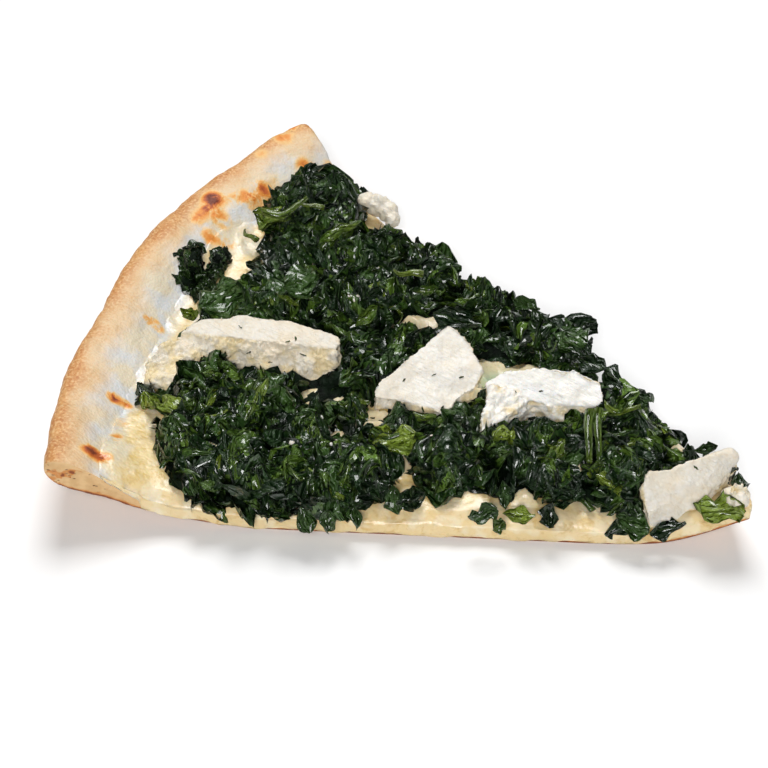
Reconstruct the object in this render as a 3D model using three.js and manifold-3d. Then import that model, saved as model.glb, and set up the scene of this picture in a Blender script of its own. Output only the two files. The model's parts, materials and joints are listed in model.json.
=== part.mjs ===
// A slice of white pizza: thin dough with a low puffed rim, a layer of melted mozzarella, a heap of
// chopped cooked spinach and four dollops of ricotta. Millimetres, +Z up, the tip towards +X.
//
// Everything is laid out from the point where the two straight cuts would meet, in polar form:
// rho is the distance from that point and theta the angle from the slice's centre line, which runs
// along -X, positive towards +Y. At the end the group is shifted so that its origin is the centre
// of its footprint, on the surface that the slice lies on.
import * as THREE from "three";
import { mergeVertices } from "three/addons/utils/BufferGeometryUtils.js";
import Module from "manifold-3d";

const wasm = await Module();
wasm.setup();

// ---- Driving dimensions -------------------------------------------------------------------------

const FRONT_CUT = THREE.MathUtils.degToRad(-24.75); // the two straight cuts
const BACK_CUT = THREE.MathUtils.degToRad(24.75);
const PIZZA_RADIUS = 189; // the whole pizza, about 15 inches across
const PIZZA_CENTRE = new THREE.Vector2(-37, 30.4); // the cuts meet off the pizza's centre
const TIP_FRONT = 8.1; // the blunt tip's distance from the meeting point, at each cut
const TIP_BACK = 15.3;

const DOUGH_THICK = 2.8;
const RIM_HEIGHT = 10.4; // top of the puffed rim above its own underside
const RIM_PEAK = 9; // distance of the rim's crest from its outer edge
const RIM_FOOT = 29; // where the rim has run out into the flat dough
const RIM_WAIST = 4.6; // height of the outermost line of the rim
const RIM_ROUND = 6.5; // how far the rounding reaches in over the top
const RIM_TUCK = 4.6; // and under the bottom
const RIM_BAND = 14; // how far in from its outer edge the rim is stretched where it bulges
// Extra height and reach of the rim, across the slice from the front cut to the back cut.
const RIM_RISE = [[0, 0], [0.28, 0.9], [0.45, 0.6], [0.62, 2.4], [0.92, 2.8], [1, 1]];
const RIM_BULGE = [[0, 0], [0.5, 0], [0.66, 2.4], [0.92, 3], [1, 0.6]];

// The cuts aren't quite straight: each swells outwards by this much, along its distance from the
// point where they would meet.
const FRONT_SWELL = [[12, 0.5], [45, 1.9], [220, 2.1]];
const BACK_SWELL = [[14, 0], [45, 2.2], [80, 3.2], [115, 2.4], [155, 0.3], [200, 0]];

const SAG_REACH = 55; // the slice sags in its middle: its crust end bends up over this width
const SAG_FRONT = 15; // rise of the crust at the front cut, its middle and the back cut
const SAG_MIDDLE = 11.5;
const SAG_BACK = 15;
const SAG_CURVE = 1.4;
const TIP_RISE = 11.5; // and the tip curls up over its last stretch
const TIP_REACH = 24;
const TIP_CURVE = 1.6;

const CHEESE_THICK = 4.2;
const CHEESE_ROUND = 5; // how far in from the cuts the melted cheese slopes down to them
const GAP = 0.3; // clearance between touching pieces
const SEAT = 0.5; // clearance under a layer whose facets differ from those below it

const SPINACH_DEPTH = 9; // depth of the heap at the top of a clump
const CLUMP_RADIUS = 9.5;
const CLUMP_STEP = 12.5; // mean spacing of the clumps
const LEAF_LONG = 16;
const LEAF_WIDE = 9;
const LEAF_THICK = 1.2;
const LEAF_PERCH = 1.3; // height of a leaf's middle over the heap below it
const LEAF_COUNT = 34;

// ---- Small helpers ------------------------------------------------------------------------------

const { clamp, lerp, smoothstep } = THREE.MathUtils;

// A repeatable stream of numbers from 0 to 1.
function makeRandom(seed) {
  let state = seed >>> 0;
  return () => {
    state = (Math.imul(state, 1664525) + 1013904223) >>> 0;
    return state / 4294967296;
  };
}

// Smooth waves that never repeat within the slice, from -1 to 1.
function ripple(x, y, size, phase = 0) {
  const a = Math.sin(x / size + 1.7 * Math.sin(y / (1.3 * size) + phase) + phase);
  const b = Math.sin(y / (0.9 * size) + 1.3 * Math.sin(x / (1.1 * size) - phase) + 2.1 * phase);
  return 0.5 * (a + b);
}

// The value of a smooth curve through (place, value) pairs at a given place.
function along(pairs, place) {
  const last = pairs.length - 1;
  if (place <= pairs[0][0]) return pairs[0][1];
  if (place >= pairs[last][0]) return pairs[last][1];
  const i = pairs.findIndex(([at]) => at > place);
  const t = (place - pairs[i - 1][0]) / (pairs[i][0] - pairs[i - 1][0]);
  return lerp(pairs[i - 1][1], pairs[i][1], t * t * (3 - 2 * t));
}

// ---- The slice's plan and its bend --------------------------------------------------------------

// Distance from the meeting point to the crust's outer edge.
function rimRadius(theta) {
  const toward = new THREE.Vector2(-Math.cos(theta), Math.sin(theta));
  const half = toward.dot(PIZZA_CENTRE);
  const outside = PIZZA_CENTRE.lengthSq() - PIZZA_RADIUS ** 2;
  const circle = half + Math.sqrt(half * half - outside);
  return circle + 0.9 * Math.sin(theta * 17 + 0.6) + 0.6 * Math.sin(theta * 31 + 2);
}

// How far across the slice an angle lies: 0 at the front cut, 1 at the back cut.
const across = (theta) => (theta - FRONT_CUT) / (BACK_CUT - FRONT_CUT);

const angleAt = (share) => lerp(FRONT_CUT, BACK_CUT, share);

const planPoint = (rho, theta) => [-rho * Math.cos(theta), rho * Math.sin(theta)];

// How far the swelling of the nearer cut pushes a point towards +Y.
function swell(rho, theta) {
  const off = 2 * across(theta) - 1;
  return off * along(off < 0 ? FRONT_SWELL : BACK_SWELL, rho);
}

// A point of the plan with its share of the rim's bulge and of the swelling of the cuts.
function shapedPoint(rho, theta) {
  const inset = rimRadius(theta) - rho;
  const bulge = along(RIM_BULGE, across(theta)) * (1 - smoothstep(inset, 0, RIM_BAND));
  const [x, y] = planPoint(rho + bulge, theta);
  return [x, y + swell(rho, theta)];
}

// Distance from the meeting point to the straight blunt end of the tip.
function tipRadius(theta) {
  const wide = Math.sin(BACK_CUT - FRONT_CUT) * TIP_FRONT * TIP_BACK;
  return wide / (TIP_FRONT * Math.sin(theta - FRONT_CUT) + TIP_BACK * Math.sin(BACK_CUT - theta));
}

// Rise of the slice's underside above the surface it lies on.
function lift(rho, theta) {
  const share = clamp(across(theta), 0, 1);
  const rise =
    SAG_FRONT * (1 - share) * (1 - 2 * share) +
    4 * SAG_MIDDLE * share * (1 - share) +
    SAG_BACK * share * (2 * share - 1);
  const fromEdge = Math.max(0, rimRadius(theta) - rho);
  const crustEnd = rise * Math.max(0, 1 - fromEdge / SAG_REACH) ** SAG_CURVE;
  const fromTip = Math.max(0, rho * Math.cos(theta) - TIP_FRONT);
  return crustEnd + TIP_RISE * Math.max(0, 1 - fromTip / TIP_REACH) ** TIP_CURVE;
}

// ---- Dough --------------------------------------------------------------------------------------

// Browned blisters that stand up on the rim: how far across, how far in, radius and height.
const BLISTERS = [
  { across: 0.05, inset: 17, radius: 5, height: 1.3 },
  { across: 0.24, inset: 20, radius: 4.5, height: 1.1 },
  { across: 0.47, inset: 22, radius: 4, height: 0.9 },
  { across: 0.7, inset: 16, radius: 6, height: 1.6 },
  { across: 0.93, inset: 14, radius: 5, height: 1 },
];

// Height of the dough's top above its own underside.
function doughTop(rho, theta) {
  const inset = rimRadius(theta) - rho;
  const share = across(theta);
  const waves = 0.9 * Math.sin(theta * 14 + 1) + 0.5 * Math.sin(theta * 29);
  const puff = RIM_HEIGHT + along(RIM_RISE, share) + waves;
  const run = clamp((inset - RIM_PEAK) / (RIM_FOOT - RIM_PEAK), 0, 1);
  const slope = DOUGH_THICK + (puff - DOUGH_THICK) * 0.5 * (1 + Math.cos(Math.PI * run));
  let top = slope;
  if (inset < RIM_ROUND) {
    const round = Math.sqrt(Math.max(0, 1 - (1 - inset / RIM_ROUND) ** 2));
    top = lerp(RIM_WAIST + 0.4, slope, round);
  }
  for (const spot of BLISTERS) {
    const aside = (share - spot.across) * (BACK_CUT - FRONT_CUT) * rho;
    const away = Math.hypot(aside, inset - spot.inset) / spot.radius;
    if (away < 1) top += spot.height * (1 - away * away) ** 2;
  }
  return top + 0.25 * ripple(...planPoint(rho, theta), 9);
}

// Height of the dough's own underside: flat, and rounded up under the rim.
function doughBottom(rho, theta) {
  const inset = rimRadius(theta) - rho;
  if (inset >= RIM_TUCK) return 0;
  return RIM_WAIST * (1 - Math.sqrt(Math.max(0, 1 - (1 - inset / RIM_TUCK) ** 2)));
}

// A closed solid between an upper and a lower sheet, both split into triangles alike. Each sheet
// gives a point for column i and row j.
function slab(columns, rows, upper, lower) {
  const points = [];
  const faces = [];
  const width = rows + 1;
  const sheet = (columns + 1) * width;
  for (const surface of [upper, lower]) {
    for (let i = 0; i <= columns; i += 1) {
      for (let j = 0; j <= rows; j += 1) points.push(...surface(i, j));
    }
  }
  for (let i = 0; i < columns; i += 1) {
    for (let j = 0; j < rows; j += 1) {
      const a = i * width + j;
      const [b, c, d] = [a + width, a + width + 1, a + 1];
      faces.push(a, b, c, a, c, d);
      faces.push(a + sheet, c + sheet, b + sheet, a + sheet, d + sheet, c + sheet);
    }
  }
  const rim = [];
  for (let i = 0; i < columns; i += 1) rim.push(i * width);
  for (let j = 0; j < rows; j += 1) rim.push(columns * width + j);
  for (let i = columns; i > 0; i -= 1) rim.push(i * width + rows);
  for (let j = rows; j > 0; j -= 1) rim.push(j);
  rim.forEach((a, k) => {
    const b = rim[(k + 1) % rim.length];
    faces.push(b, a, a + sheet, b, a + sheet, b + sheet);
  });
  const geometry = new THREE.BufferGeometry();
  geometry.setAttribute("position", new THREE.Float32BufferAttribute(points, 3));
  geometry.setIndex(faces);
  return geometry;
}

// A layer's rings of points run from the crust to the tip: some at set distances in from the crust's
// outer edge, some shared out evenly, and the last at set distances from the tip.
const EVEN_RINGS = 9;
const TIP_RINGS = [25, 18, 12, 6, 0];

function ringRadius(i, theta, rimRings) {
  const even = i - rimRings.length;
  if (even < 0) return rimRadius(theta) - rimRings[i];
  const last = even - EVEN_RINGS;
  if (last >= 0) return tipRadius(theta) + TIP_RINGS[last];
  const start = rimRadius(theta) - rimRings[rimRings.length - 1];
  return lerp(start, tipRadius(theta) + TIP_RINGS[0], (even + 1) / (EVEN_RINGS + 1));
}

// A layer of the slice, cut straight at both sides, between two heights over its underside.
function layer(rows, rimRings, top, bottom) {
  const columns = rimRings(FRONT_CUT).length + EVEN_RINGS + TIP_RINGS.length - 1;
  const surface = (height) => (i, j) => {
    const theta = angleAt(j / rows);
    const rho = ringRadius(i, theta, rimRings(theta));
    return [...shapedPoint(rho, theta), lift(rho, theta) + height(rho, theta)];
  };
  return slab(columns, rows, surface(top), surface(bottom));
}

const DOUGH_ROWS = 16;
const DOUGH_RINGS = [0, 0.5, 1.6, 3.4, 6, 9.5, 14, 18.5, 23, 29];

const doughGeometry = () => layer(DOUGH_ROWS, () => DOUGH_RINGS, doughTop, doughBottom);

// ---- Melted cheese ------------------------------------------------------------------------------

// The ragged line where the melted cheese ends, measured in from the crust's outer edge, across the
// slice from the front cut to the back cut.
const CHEESE_EDGE = [
  [0, 15.5], [0.07, 15], [0.13, 18], [0.22, 19.5], [0.38, 18.5], [0.47, 21], [0.54, 20.5],
  [0.63, 18], [0.7, 16], [0.78, 19.5], [0.88, 20], [1, 22],
];

const cheeseEdge = (theta) => along(CHEESE_EDGE, across(theta));

// Height of the cheese's top above the slice's underside.
function cheeseTop(rho, theta) {
  const inset = rimRadius(theta) - cheeseEdge(theta) - rho;
  const fromCut = rho * Math.min(theta - FRONT_CUT, BACK_CUT - theta);
  const swell = smoothstep(inset, -1, 12) * lerp(0.62, 1, smoothstep(fromCut, -1, CHEESE_ROUND));
  const thick = lerp(0.7, CHEESE_THICK, swell);
  const lumps = 0.6 * ripple(...planPoint(rho, theta), 5.2, 0.8);
  return doughTop(rho, theta) + SEAT + thick + lumps * swell;
}

function cheeseGeometry() {
  const foot = DOUGH_RINGS[DOUGH_RINGS.length - 1];
  const rings = (theta) => [cheeseEdge(theta), lerp(cheeseEdge(theta), foot, 0.5), foot];
  return layer(DOUGH_ROWS, rings, cheeseTop, (rho, theta) => doughTop(rho, theta) + SEAT);
}

// Height of the melted cheese's top surface over any point of the plan.
function surfaceAt(x, y) {
  const rho = Math.hypot(x, y);
  const straight = y - swell(rho, Math.atan2(y, -x));
  const theta = clamp(Math.atan2(straight, -x), FRONT_CUT, BACK_CUT);
  return lift(rho, theta) + cheeseTop(rho, theta);
}

// ---- Ricotta ------------------------------------------------------------------------------------

// A dollop is one lobe or two. A lobe is an upright block with an outline seen from above, whose top
// was pared by the spoon: each of its faces is a plane through three points, given as x, y and
// height. The base is the height of its underside over the lowest cheese below it.
const DOLLOPS = [
  {
    name: "ricotta_rim",
    base: 1.5,
    lobes: [
      {
        outline: [
          [-188, -27], [-183.6, -13], [-173, -3.5], [-156, 1.5], [-143.5, 4], [-141, -3],
          [-145, -13], [-153, -15], [-164, -14.5], [-173, -17], [-179, -22],
        ],
        faces: [
          [[-183.6, -13, 22.6], [-143.5, 4, 18.8], [-163, -7, 20.4]],
          [[-180, -18.5, 20.6], [-144.5, -3, 17], [-158, -15, 11.2]],
        ],
      },
      {
        outline: [[-190, -35], [-189, -26], [-181, -19], [-177, -27], [-181, -36], [-187, -39]],
        faces: [[[-188, -26, 20.6], [-188, -38, 16.4], [-179, -25, 16]]],
      },
    ],
  },
  {
    name: "ricotta_middle",
    base: 1,
    lobes: [
      {
        outline: [
          [-123, -11], [-124, -7], [-119.5, 6], [-114, 21], [-106.5, 19], [-98.5, 13.5], [-98, 8],
          [-103, -3.5], [-113.5, -7],
        ],
        faces: [
          [[-114, 21, 21], [-119.5, 6, 19.2], [-98.5, 13.5, 16.4]],
          [[-123, -7, 15.4], [-98, 9, 14.6], [-108, -5.5, 11.6]],
        ],
      },
    ],
  },
  {
    name: "ricotta_crescent",
    base: 1,
    lobes: [
      {
        outline: [
          [-94.5, 6], [-89.5, 11], [-82, 16], [-71, 20.7], [-63, 21], [-59.5, 16], [-63.5, 10.5],
          [-73, 9], [-80, 8], [-87, 3],
        ],
        faces: [
          [[-94, 6.5, 18.6], [-82, 16, 21.8], [-61, 18, 17.4]],
          [[-90, 4.5, 16.6], [-62, 15, 15.8], [-73, 9, 12.8]],
        ],
      },
      {
        outline: [[-90, -6], [-91.5, 5], [-84, 9], [-80, 8.5], [-83, 0.5], [-87.5, -9.5]],
        faces: [[[-89.5, -6, 15.2], [-90, 4, 18.4], [-82, 4, 15.6]]],
      },
    ],
  },
  {
    name: "ricotta_tip",
    base: -0.5,
    lobes: [
      {
        outline: [
          [-36.5, -11.5], [-36, -9], [-30.7, -5.5], [-25, 1], [-19.5, 6], [-15.5, 6], [-16, 3],
          [-19.5, -2], [-21.5, -6], [-27.5, -14.5], [-32, -16.5],
        ],
        faces: [
          [[-36, -9.5, 21], [-20, 5, 26], [-26.5, -13, 8.5]],
          [[-36, -9, 21.2], [-19.5, 6, 24.6], [-27, -5, 24.4]],
        ],
      },
    ],
  },
  {
    name: "ricotta_crumb",
    base: 0,
    lobes: [
      {
        outline: [[-14.6, -6.3], [-13.6, -3], [-9.8, -2], [-8.4, -3.6], [-10.5, -4.6]],
        faces: [[[-14, -5, 20], [-10, -3, 20.4], [-10.5, -4.6, 18.4]]],
      },
    ],
  },
];
const LOBE_TALL = 30; // height of a block before it is pared
const LOBE_CORNER = 0.6; // radius of its upright corners

// A lobe grown by a clearance on every side.
function lobeSolid({ outline, faces }, base, grow) {
  const low = Math.min(...outline.map(([x, y]) => surfaceAt(x, y))) + base;
  const section = new wasm.CrossSection([outline], "EvenOdd")
    .offset(-LOBE_CORNER, "Round", 2, 12)
    .offset(LOBE_CORNER + grow, "Round", 2, 12);
  const block = section.extrude(LOBE_TALL).translate([0, 0, low - grow]);
  return faces.reduce((left, corners) => {
    const [a, b, c] = corners.map((corner) => new THREE.Vector3(...corner));
    const down = b.sub(a).cross(c.sub(a)).normalize();
    if (down.z > 0) down.negate();
    return left.trimByPlane(down.toArray(), down.dot(a) - grow);
  }, block);
}

const dollopSolid = ({ lobes, base }, grow = 0) =>
  wasm.Manifold.union(lobes.map((lobe) => lobeSolid(lobe, base, grow)));

// ---- Spinach ------------------------------------------------------------------------------------

// Edge of the heap, measured in from the crust's outer edge, across the slice.
const HEAP_EDGE = [
  [0, 31], [0.14, 28], [0.26, 25], [0.4, 27], [0.54, 28], [0.65, 32], [0.71, 29], [0.78, 20],
  [0.9, 19], [1, 20],
];
// Edge of the heap, measured in from the front cut, along the slice. Below 0 it hangs over the cut.
const HEAP_FRONT = [
  [18, 2], [34, 6], [41, 2.5], [47, 6], [62, 6], [76, 6.5], [86, 13], [108, 12.5], [114, 6.5],
  [120, 2], [130, -0.5], [150, -1.5], [164, -1.5], [171, 1], [176, 6], [181, 13], [190, 20],
];
// And measured in from the back cut.
const HEAP_BACK = [
  [20, 1.5], [34, 1.5], [42, 0], [60, -1.2], [82, 0], [98, -1.6], [112, -2.6], [124, 1.2],
  [136, 2], [146, 0.8], [160, -1], [175, 1], [200, 1],
];
const HEAP_NEAREST = 21; // the heap runs this close to the meeting point of the cuts
const HEAP_SKIRT = 3; // depth of the heap at its thin edge on the crust's side

// Places where the heap thins out and the cheese shows through.
const BARE = [
  { x: -103, y: 29, radius: 7 },
  { x: -94, y: 20, radius: 6 },
  { x: -146, y: -19, radius: 8 },
  { x: -158, y: -21, radius: 5 },
  { x: -138, y: -9, radius: 6 },
  { x: -126, y: -16, radius: 6 },
  { x: -115, y: -12, radius: 7 },
  { x: -106, y: -9, radius: 7 },
  { x: -97, y: 0, radius: 6 },
  { x: -92, y: -11, radius: 5 },
  { x: -79, y: 2, radius: 6 },
  { x: -70, y: 5, radius: 6 },
  { x: -62, y: -6, radius: 6 },
  { x: -80, y: 33, radius: 6 },
];

// Centres of the clumps, about evenly spread over the whole slice.
function clumpCentres() {
  const random = makeRandom(11);
  const centres = [];
  for (let rho = HEAP_NEAREST; rho < PIZZA_RADIUS * 1.25; rho += CLUMP_STEP * 0.87) {
    const count = Math.max(1, Math.round(((BACK_CUT - FRONT_CUT) * rho) / CLUMP_STEP));
    for (let k = 0; k < count; k += 1) {
      const [x, y] = planPoint(rho + 4 * (random() - 0.5), angleAt((k + random()) / count));
      centres.push({ x, y, size: 0.75 + 0.4 * random() });
    }
  }
  return centres;
}

const CLUMPS = clumpCentres();

// Depth of the heap at a point of the plan: a rounded dome over each clump, a dip at a bare patch.
function heapDepth(x, y) {
  const domes = CLUMPS.map((clump) => {
    const away = Math.hypot(x - clump.x, y - clump.y) / CLUMP_RADIUS;
    return clump.size * Math.sqrt(Math.max(0, 1 - away * away));
  });
  const dips = BARE.map((bare) => Math.hypot(x - bare.x, y - bare.y) / bare.radius - 0.4);
  return SPINACH_DEPTH * clamp(Math.min(...dips), 0.12, 1) * Math.max(0.45, ...domes);
}

// The heap's core at (u, v): u runs from the crust's side to the tip, v from the front to the back.
function heapPoint(u, v) {
  const far = rimRadius(angleAt(v)) - along(HEAP_EDGE, v);
  const rho = lerp(far, HEAP_NEAREST, u);
  const fromFront = FRONT_CUT + Math.asin(along(HEAP_FRONT, rho) / rho);
  const fromBack = BACK_CUT - Math.asin(along(HEAP_BACK, rho) / rho);
  const theta = lerp(fromFront, fromBack, v);
  const [x, y] = shapedPoint(rho, theta);
  const fromCrust = far - rho;
  const fromEdge = Math.min(fromCrust, 2 * rho * (theta - fromFront), rho - HEAP_NEAREST + 2);
  return { x, y, rise: smoothstep(fromEdge, -1, 8) };
}

function heapCore() {
  const columns = 31;
  const rows = 14;
  const surface = (height) => (i, j) => {
    const { x, y, rise } = heapPoint(i / columns, j / rows);
    return [x, y, surfaceAt(x, y) + height(x, y, rise)];
  };
  const top = (x, y, rise) => lerp(HEAP_SKIRT, heapDepth(x, y), rise);
  return slab(columns, rows, surface(top), surface(() => SEAT));
}

// A crumpled clump: a squashed ball with a knobbly skin.
function clumpGeometry(x, y, z, radius, random) {
  const ball = new THREE.IcosahedronGeometry(1, 1);
  ball.deleteAttribute("normal");
  ball.deleteAttribute("uv");
  const geometry = mergeVertices(ball, 1e-4);
  const place = geometry.getAttribute("position");
  for (let i = 0; i < place.count; i += 1) {
    const knob = radius * (0.84 + 0.32 * random());
    place.setXYZ(i, place.getX(i) * knob, place.getY(i) * knob, place.getZ(i) * knob * 0.6);
  }
  geometry.translate(x, y, z);
  return geometry;
}

// A leaf: a thin wavy solid with narrow ends, its middle at the origin.
function leafGeometry(long, wide, random) {
  const phase = random() * 6;
  const cup = 0.9 + 1.6 * random();
  const surface = (offset) => (i, j) => {
    const reach = i / 2 - 1;
    const side = j - 1;
    const waist = 0.32 + 0.68 * Math.sqrt(1 - (0.93 * reach) ** 2);
    const wave = 1.1 * Math.sin(2.6 * reach + phase) + 0.8 * Math.sin(4 * side + 2 * reach + phase);
    return [(reach * long) / 2, (side * wide * waist) / 2, wave - cup * side * side + offset];
  };
  return slab(4, 2, surface(LEAF_THICK / 2), surface(-LEAF_THICK / 2));
}

// Leaves lie spread over the heap, clear of the ricotta, each tipped a little its own way.
function leaves() {
  const random = makeRandom(5);
  const made = [];
  const free = (x, y) =>
    DOLLOPS.every(({ lobes }) =>
      lobes.every(({ outline }) => outline.every(([a, b]) => Math.hypot(x - a, y - b) > LEAF_WIDE)),
    );
  for (let n = 1; made.length < LEAF_COUNT && n < 400; n += 1) {
    const { x, y, rise } = heapPoint(1 - Math.sqrt((n * 0.7549) % 1), (n * 0.5698) % 1);
    if (rise < 0.5 || !free(x, y)) continue;
    const long = LEAF_LONG * (0.75 + 0.5 * random());
    const leaf = leafGeometry(long, LEAF_WIDE * (0.8 + 0.4 * random()), random);
    leaf.rotateX(0.5 * (random() - 0.5));
    leaf.rotateY(0.5 * (random() - 0.5));
    leaf.rotateZ(random() * 2 * Math.PI);
    leaf.translate(x, y, surfaceAt(x, y) + heapDepth(x, y) + LEAF_PERCH);
    made.push(leaf);
  }
  return made;
}

// The clump that lies apart from the heap, on the crust's side, with two long leaves.
const STRAY = { x: -200.5, y: 10.5, radius: 6.6, reach: 10, headings: [136, 98] };

// ---- Joining and cutting ------------------------------------------------------------------------

function solidFrom(geometry) {
  const bare = geometry.clone();
  bare.deleteAttribute("normal");
  bare.deleteAttribute("uv");
  const merged = mergeVertices(bare, 1e-4);
  return new wasm.Manifold(
    new wasm.Mesh({
      numProp: 3,
      vertProperties: merged.getAttribute("position").array,
      triVerts: new Uint32Array(merged.getIndex().array),
    }),
  );
}

// The largest connected body of a solid, without the loose scraps.
const largest = (solid) =>
  solid.decompose().reduce((best, body) => (body.volume() > best.volume() ? body : best));

function geometryFrom(solid) {
  const { vertProperties, triVerts } = solid.getMesh();
  const geometry = new THREE.BufferGeometry();
  geometry.setAttribute("position", new THREE.BufferAttribute(vertProperties, 3));
  geometry.setIndex(new THREE.BufferAttribute(triVerts, 1));
  geometry.computeVertexNormals();
  return geometry;
}

// Takes a neighbour away from a solid, with the usual gap above it and beside both cuts.
function clearOf(solid, neighbour) {
  const outFront = [GAP * Math.sin(-FRONT_CUT), -GAP * Math.cos(FRONT_CUT), 0];
  const outBack = [GAP * Math.sin(BACK_CUT), GAP * Math.cos(BACK_CUT), 0];
  return [[0, 0, GAP], outFront, outBack].reduce(
    (left, step) => left.subtract(neighbour.translate(step)),
    solid,
  );
}

const unite = (geometries) => wasm.Manifold.union(geometries.map(solidFrom));

const SLIVER = 0.12; // the smallest detail that a cut leaves standing

const dough = solidFrom(doughGeometry());
const cheese = solidFrom(cheeseGeometry());

const dollops = DOLLOPS.map((dollop) =>
  largest(clearOf(clearOf(dollopSolid(dollop), cheese), dough).simplify(SLIVER)),
);

const grownDollops = wasm.Manifold.union(DOLLOPS.map((dollop) => dollopSolid(dollop, 2 * GAP)));

function spinachHeap() {
  const pile = unite([heapCore(), ...leaves()]);
  return largest(clearOf(pile, cheese).subtract(grownDollops).simplify(SLIVER));
}

const heap = spinachHeap();

function strayClump() {
  const random = makeRandom(3);
  const { x, y, radius, reach, headings } = STRAY;
  const seat = surfaceAt(x, y);
  const pieces = [clumpGeometry(x, y, seat + 0.3 * radius, radius, random)];
  for (const heading of headings.map(THREE.MathUtils.degToRad)) {
    const leaf = leafGeometry(2.4 * radius, 1.1 * radius, random);
    const [leafX, leafY] = [x + reach * Math.cos(heading), y + reach * Math.sin(heading)];
    leaf.rotateZ(heading);
    leaf.translate(leafX, leafY, surfaceAt(leafX, leafY) + 0.5 * radius);
    pieces.push(leaf);
  }
  // It spans the cheese's edge, so nothing of it may creep in between the cheese and the dough, and
  // it lies against the heap.
  const kept = [-GAP, 0, GAP].map((step) => cheese.translate([0, 0, step]));
  kept.push(dough.translate([0, 0, GAP]));
  for (const step of [[0, 0, GAP], [-GAP, 0, 0], [0, GAP, 0], [0, -GAP, 0]]) {
    kept.push(heap.translate(step));
  }
  return largest(unite(pieces).subtract(wasm.Manifold.union(kept)).simplify(SLIVER));
}

// ---- The slice ----------------------------------------------------------------------------------

const paint = (color, roughness) =>
  new THREE.MeshStandardMaterial({ color, roughness, metalness: 0 });

const bakedDough = paint(0xdfb77f, 0.75);
const meltedCheese = paint(0xf0e2b8, 0.35);
const ricotta = paint(0xf6efe0, 0.6);
const spinach = paint(0x1f3a1a, 0.35);

function piece(name, solid, material) {
  const mesh = new THREE.Mesh(geometryFrom(solid), material);
  mesh.name = name;
  return mesh;
}

const slice = new THREE.Group();
slice.add(piece("dough", dough, bakedDough));
slice.add(piece("melted_cheese", cheese, meltedCheese));
slice.add(piece("spinach_heap", heap, spinach));
slice.add(piece("spinach_clump", strayClump(), spinach));
DOLLOPS.forEach(({ name }, i) => slice.add(piece(name, dollops[i], ricotta)));

const footprint = new THREE.Box3().setFromObject(slice);
const middle = footprint.getCenter(new THREE.Vector3());
slice.position.set(-middle.x, -middle.y, -footprint.min.z);

export default slice;
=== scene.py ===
# %% [markdown]
# # A slice of white pizza
# Thin dough with a puffed, floury rim, a glossy layer of melted mozzarella, a deep heap of
# cooked chopped spinach, and four dollops and a crumb of ricotta. The plain solids of the slice
# are loaded first. Each one is then dressed: copied, refined and given the surface of real food.

import json
import math
import random

import bpy
import numpy as np
from mathutils import Matrix, Vector
from mathutils.bvhtree import BVHTree

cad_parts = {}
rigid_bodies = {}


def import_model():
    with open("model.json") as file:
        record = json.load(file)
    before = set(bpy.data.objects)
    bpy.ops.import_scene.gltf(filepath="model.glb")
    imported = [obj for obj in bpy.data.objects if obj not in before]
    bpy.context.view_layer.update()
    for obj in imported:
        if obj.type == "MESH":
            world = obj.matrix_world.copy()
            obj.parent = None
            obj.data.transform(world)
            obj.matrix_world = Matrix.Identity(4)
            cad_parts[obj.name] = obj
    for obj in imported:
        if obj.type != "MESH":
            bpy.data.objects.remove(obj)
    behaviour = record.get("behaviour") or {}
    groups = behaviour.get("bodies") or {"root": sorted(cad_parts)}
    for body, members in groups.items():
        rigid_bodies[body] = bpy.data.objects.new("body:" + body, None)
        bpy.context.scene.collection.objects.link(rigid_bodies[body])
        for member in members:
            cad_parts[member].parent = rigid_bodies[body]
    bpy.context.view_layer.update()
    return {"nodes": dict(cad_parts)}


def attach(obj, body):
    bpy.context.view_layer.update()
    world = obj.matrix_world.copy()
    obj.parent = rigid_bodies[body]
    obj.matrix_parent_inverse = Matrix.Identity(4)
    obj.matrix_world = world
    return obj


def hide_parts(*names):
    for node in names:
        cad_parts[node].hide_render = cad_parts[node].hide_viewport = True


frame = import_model()
MM = 0.001
DOWN, UP = Vector((0, 0, -1)), Vector((0, 0, 1))
HIGH, LOW = 0.06, -0.01  # heights from which rays are cast down and up at the slice
print("solids:", sorted(frame["nodes"]))

# %% [markdown]
# ## Where things are
# The two straight cuts of the slice would meet just beyond its blunt tip. That meeting point,
# the apex, is the natural origin for everything on a pizza slice, so places are written as
# millimetres from it. The slice's own solids tell where it lies: the tip's front corner is a
# known distance from the apex.

# %% Find the apex and the slice's angles
CUT_ANGLE = math.radians(24.75)  # between each cut and the slice's middle line
TIP_FRONT = 8.1 * MM  # from the tip's front corner to the apex
TIP_SWELL = 0.5 * MM  # how far the front cut swells out at that corner
PIZZA_CENTRE = Vector((-37 * MM, 30.4 * MM, 0))  # from the apex: the cuts missed the middle
PIZZA_RADIUS = 189 * MM

tip = max((v.co for v in frame["nodes"]["dough"].data.vertices), key=lambda co: co.x)
APEX = tip + Vector((math.cos(CUT_ANGLE), math.sin(CUT_ANGLE), 0)) * TIP_FRONT + Vector((0, TIP_SWELL, 0))
APEX.z = 0


def place(x, y, z=0):
    """A point given in millimetres from the apex."""
    return APEX + Vector((x, y, z)) * MM


print("apex at", [round(c / MM, 1) for c in APEX])

# %% [markdown]
# ## The camera
# A 70 mm lens stands in front of the slice's long cut and looks down on it at about 42 degrees.
# The camera's three axes are built from its heading, its dip and a slight roll.

# %% Camera
HEADING, DIP, ROLL = math.radians(29.7), math.radians(41.64), math.radians(-1.12)
EYE = (45.77, -300.64, 317.06)  # millimetres from the apex

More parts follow.
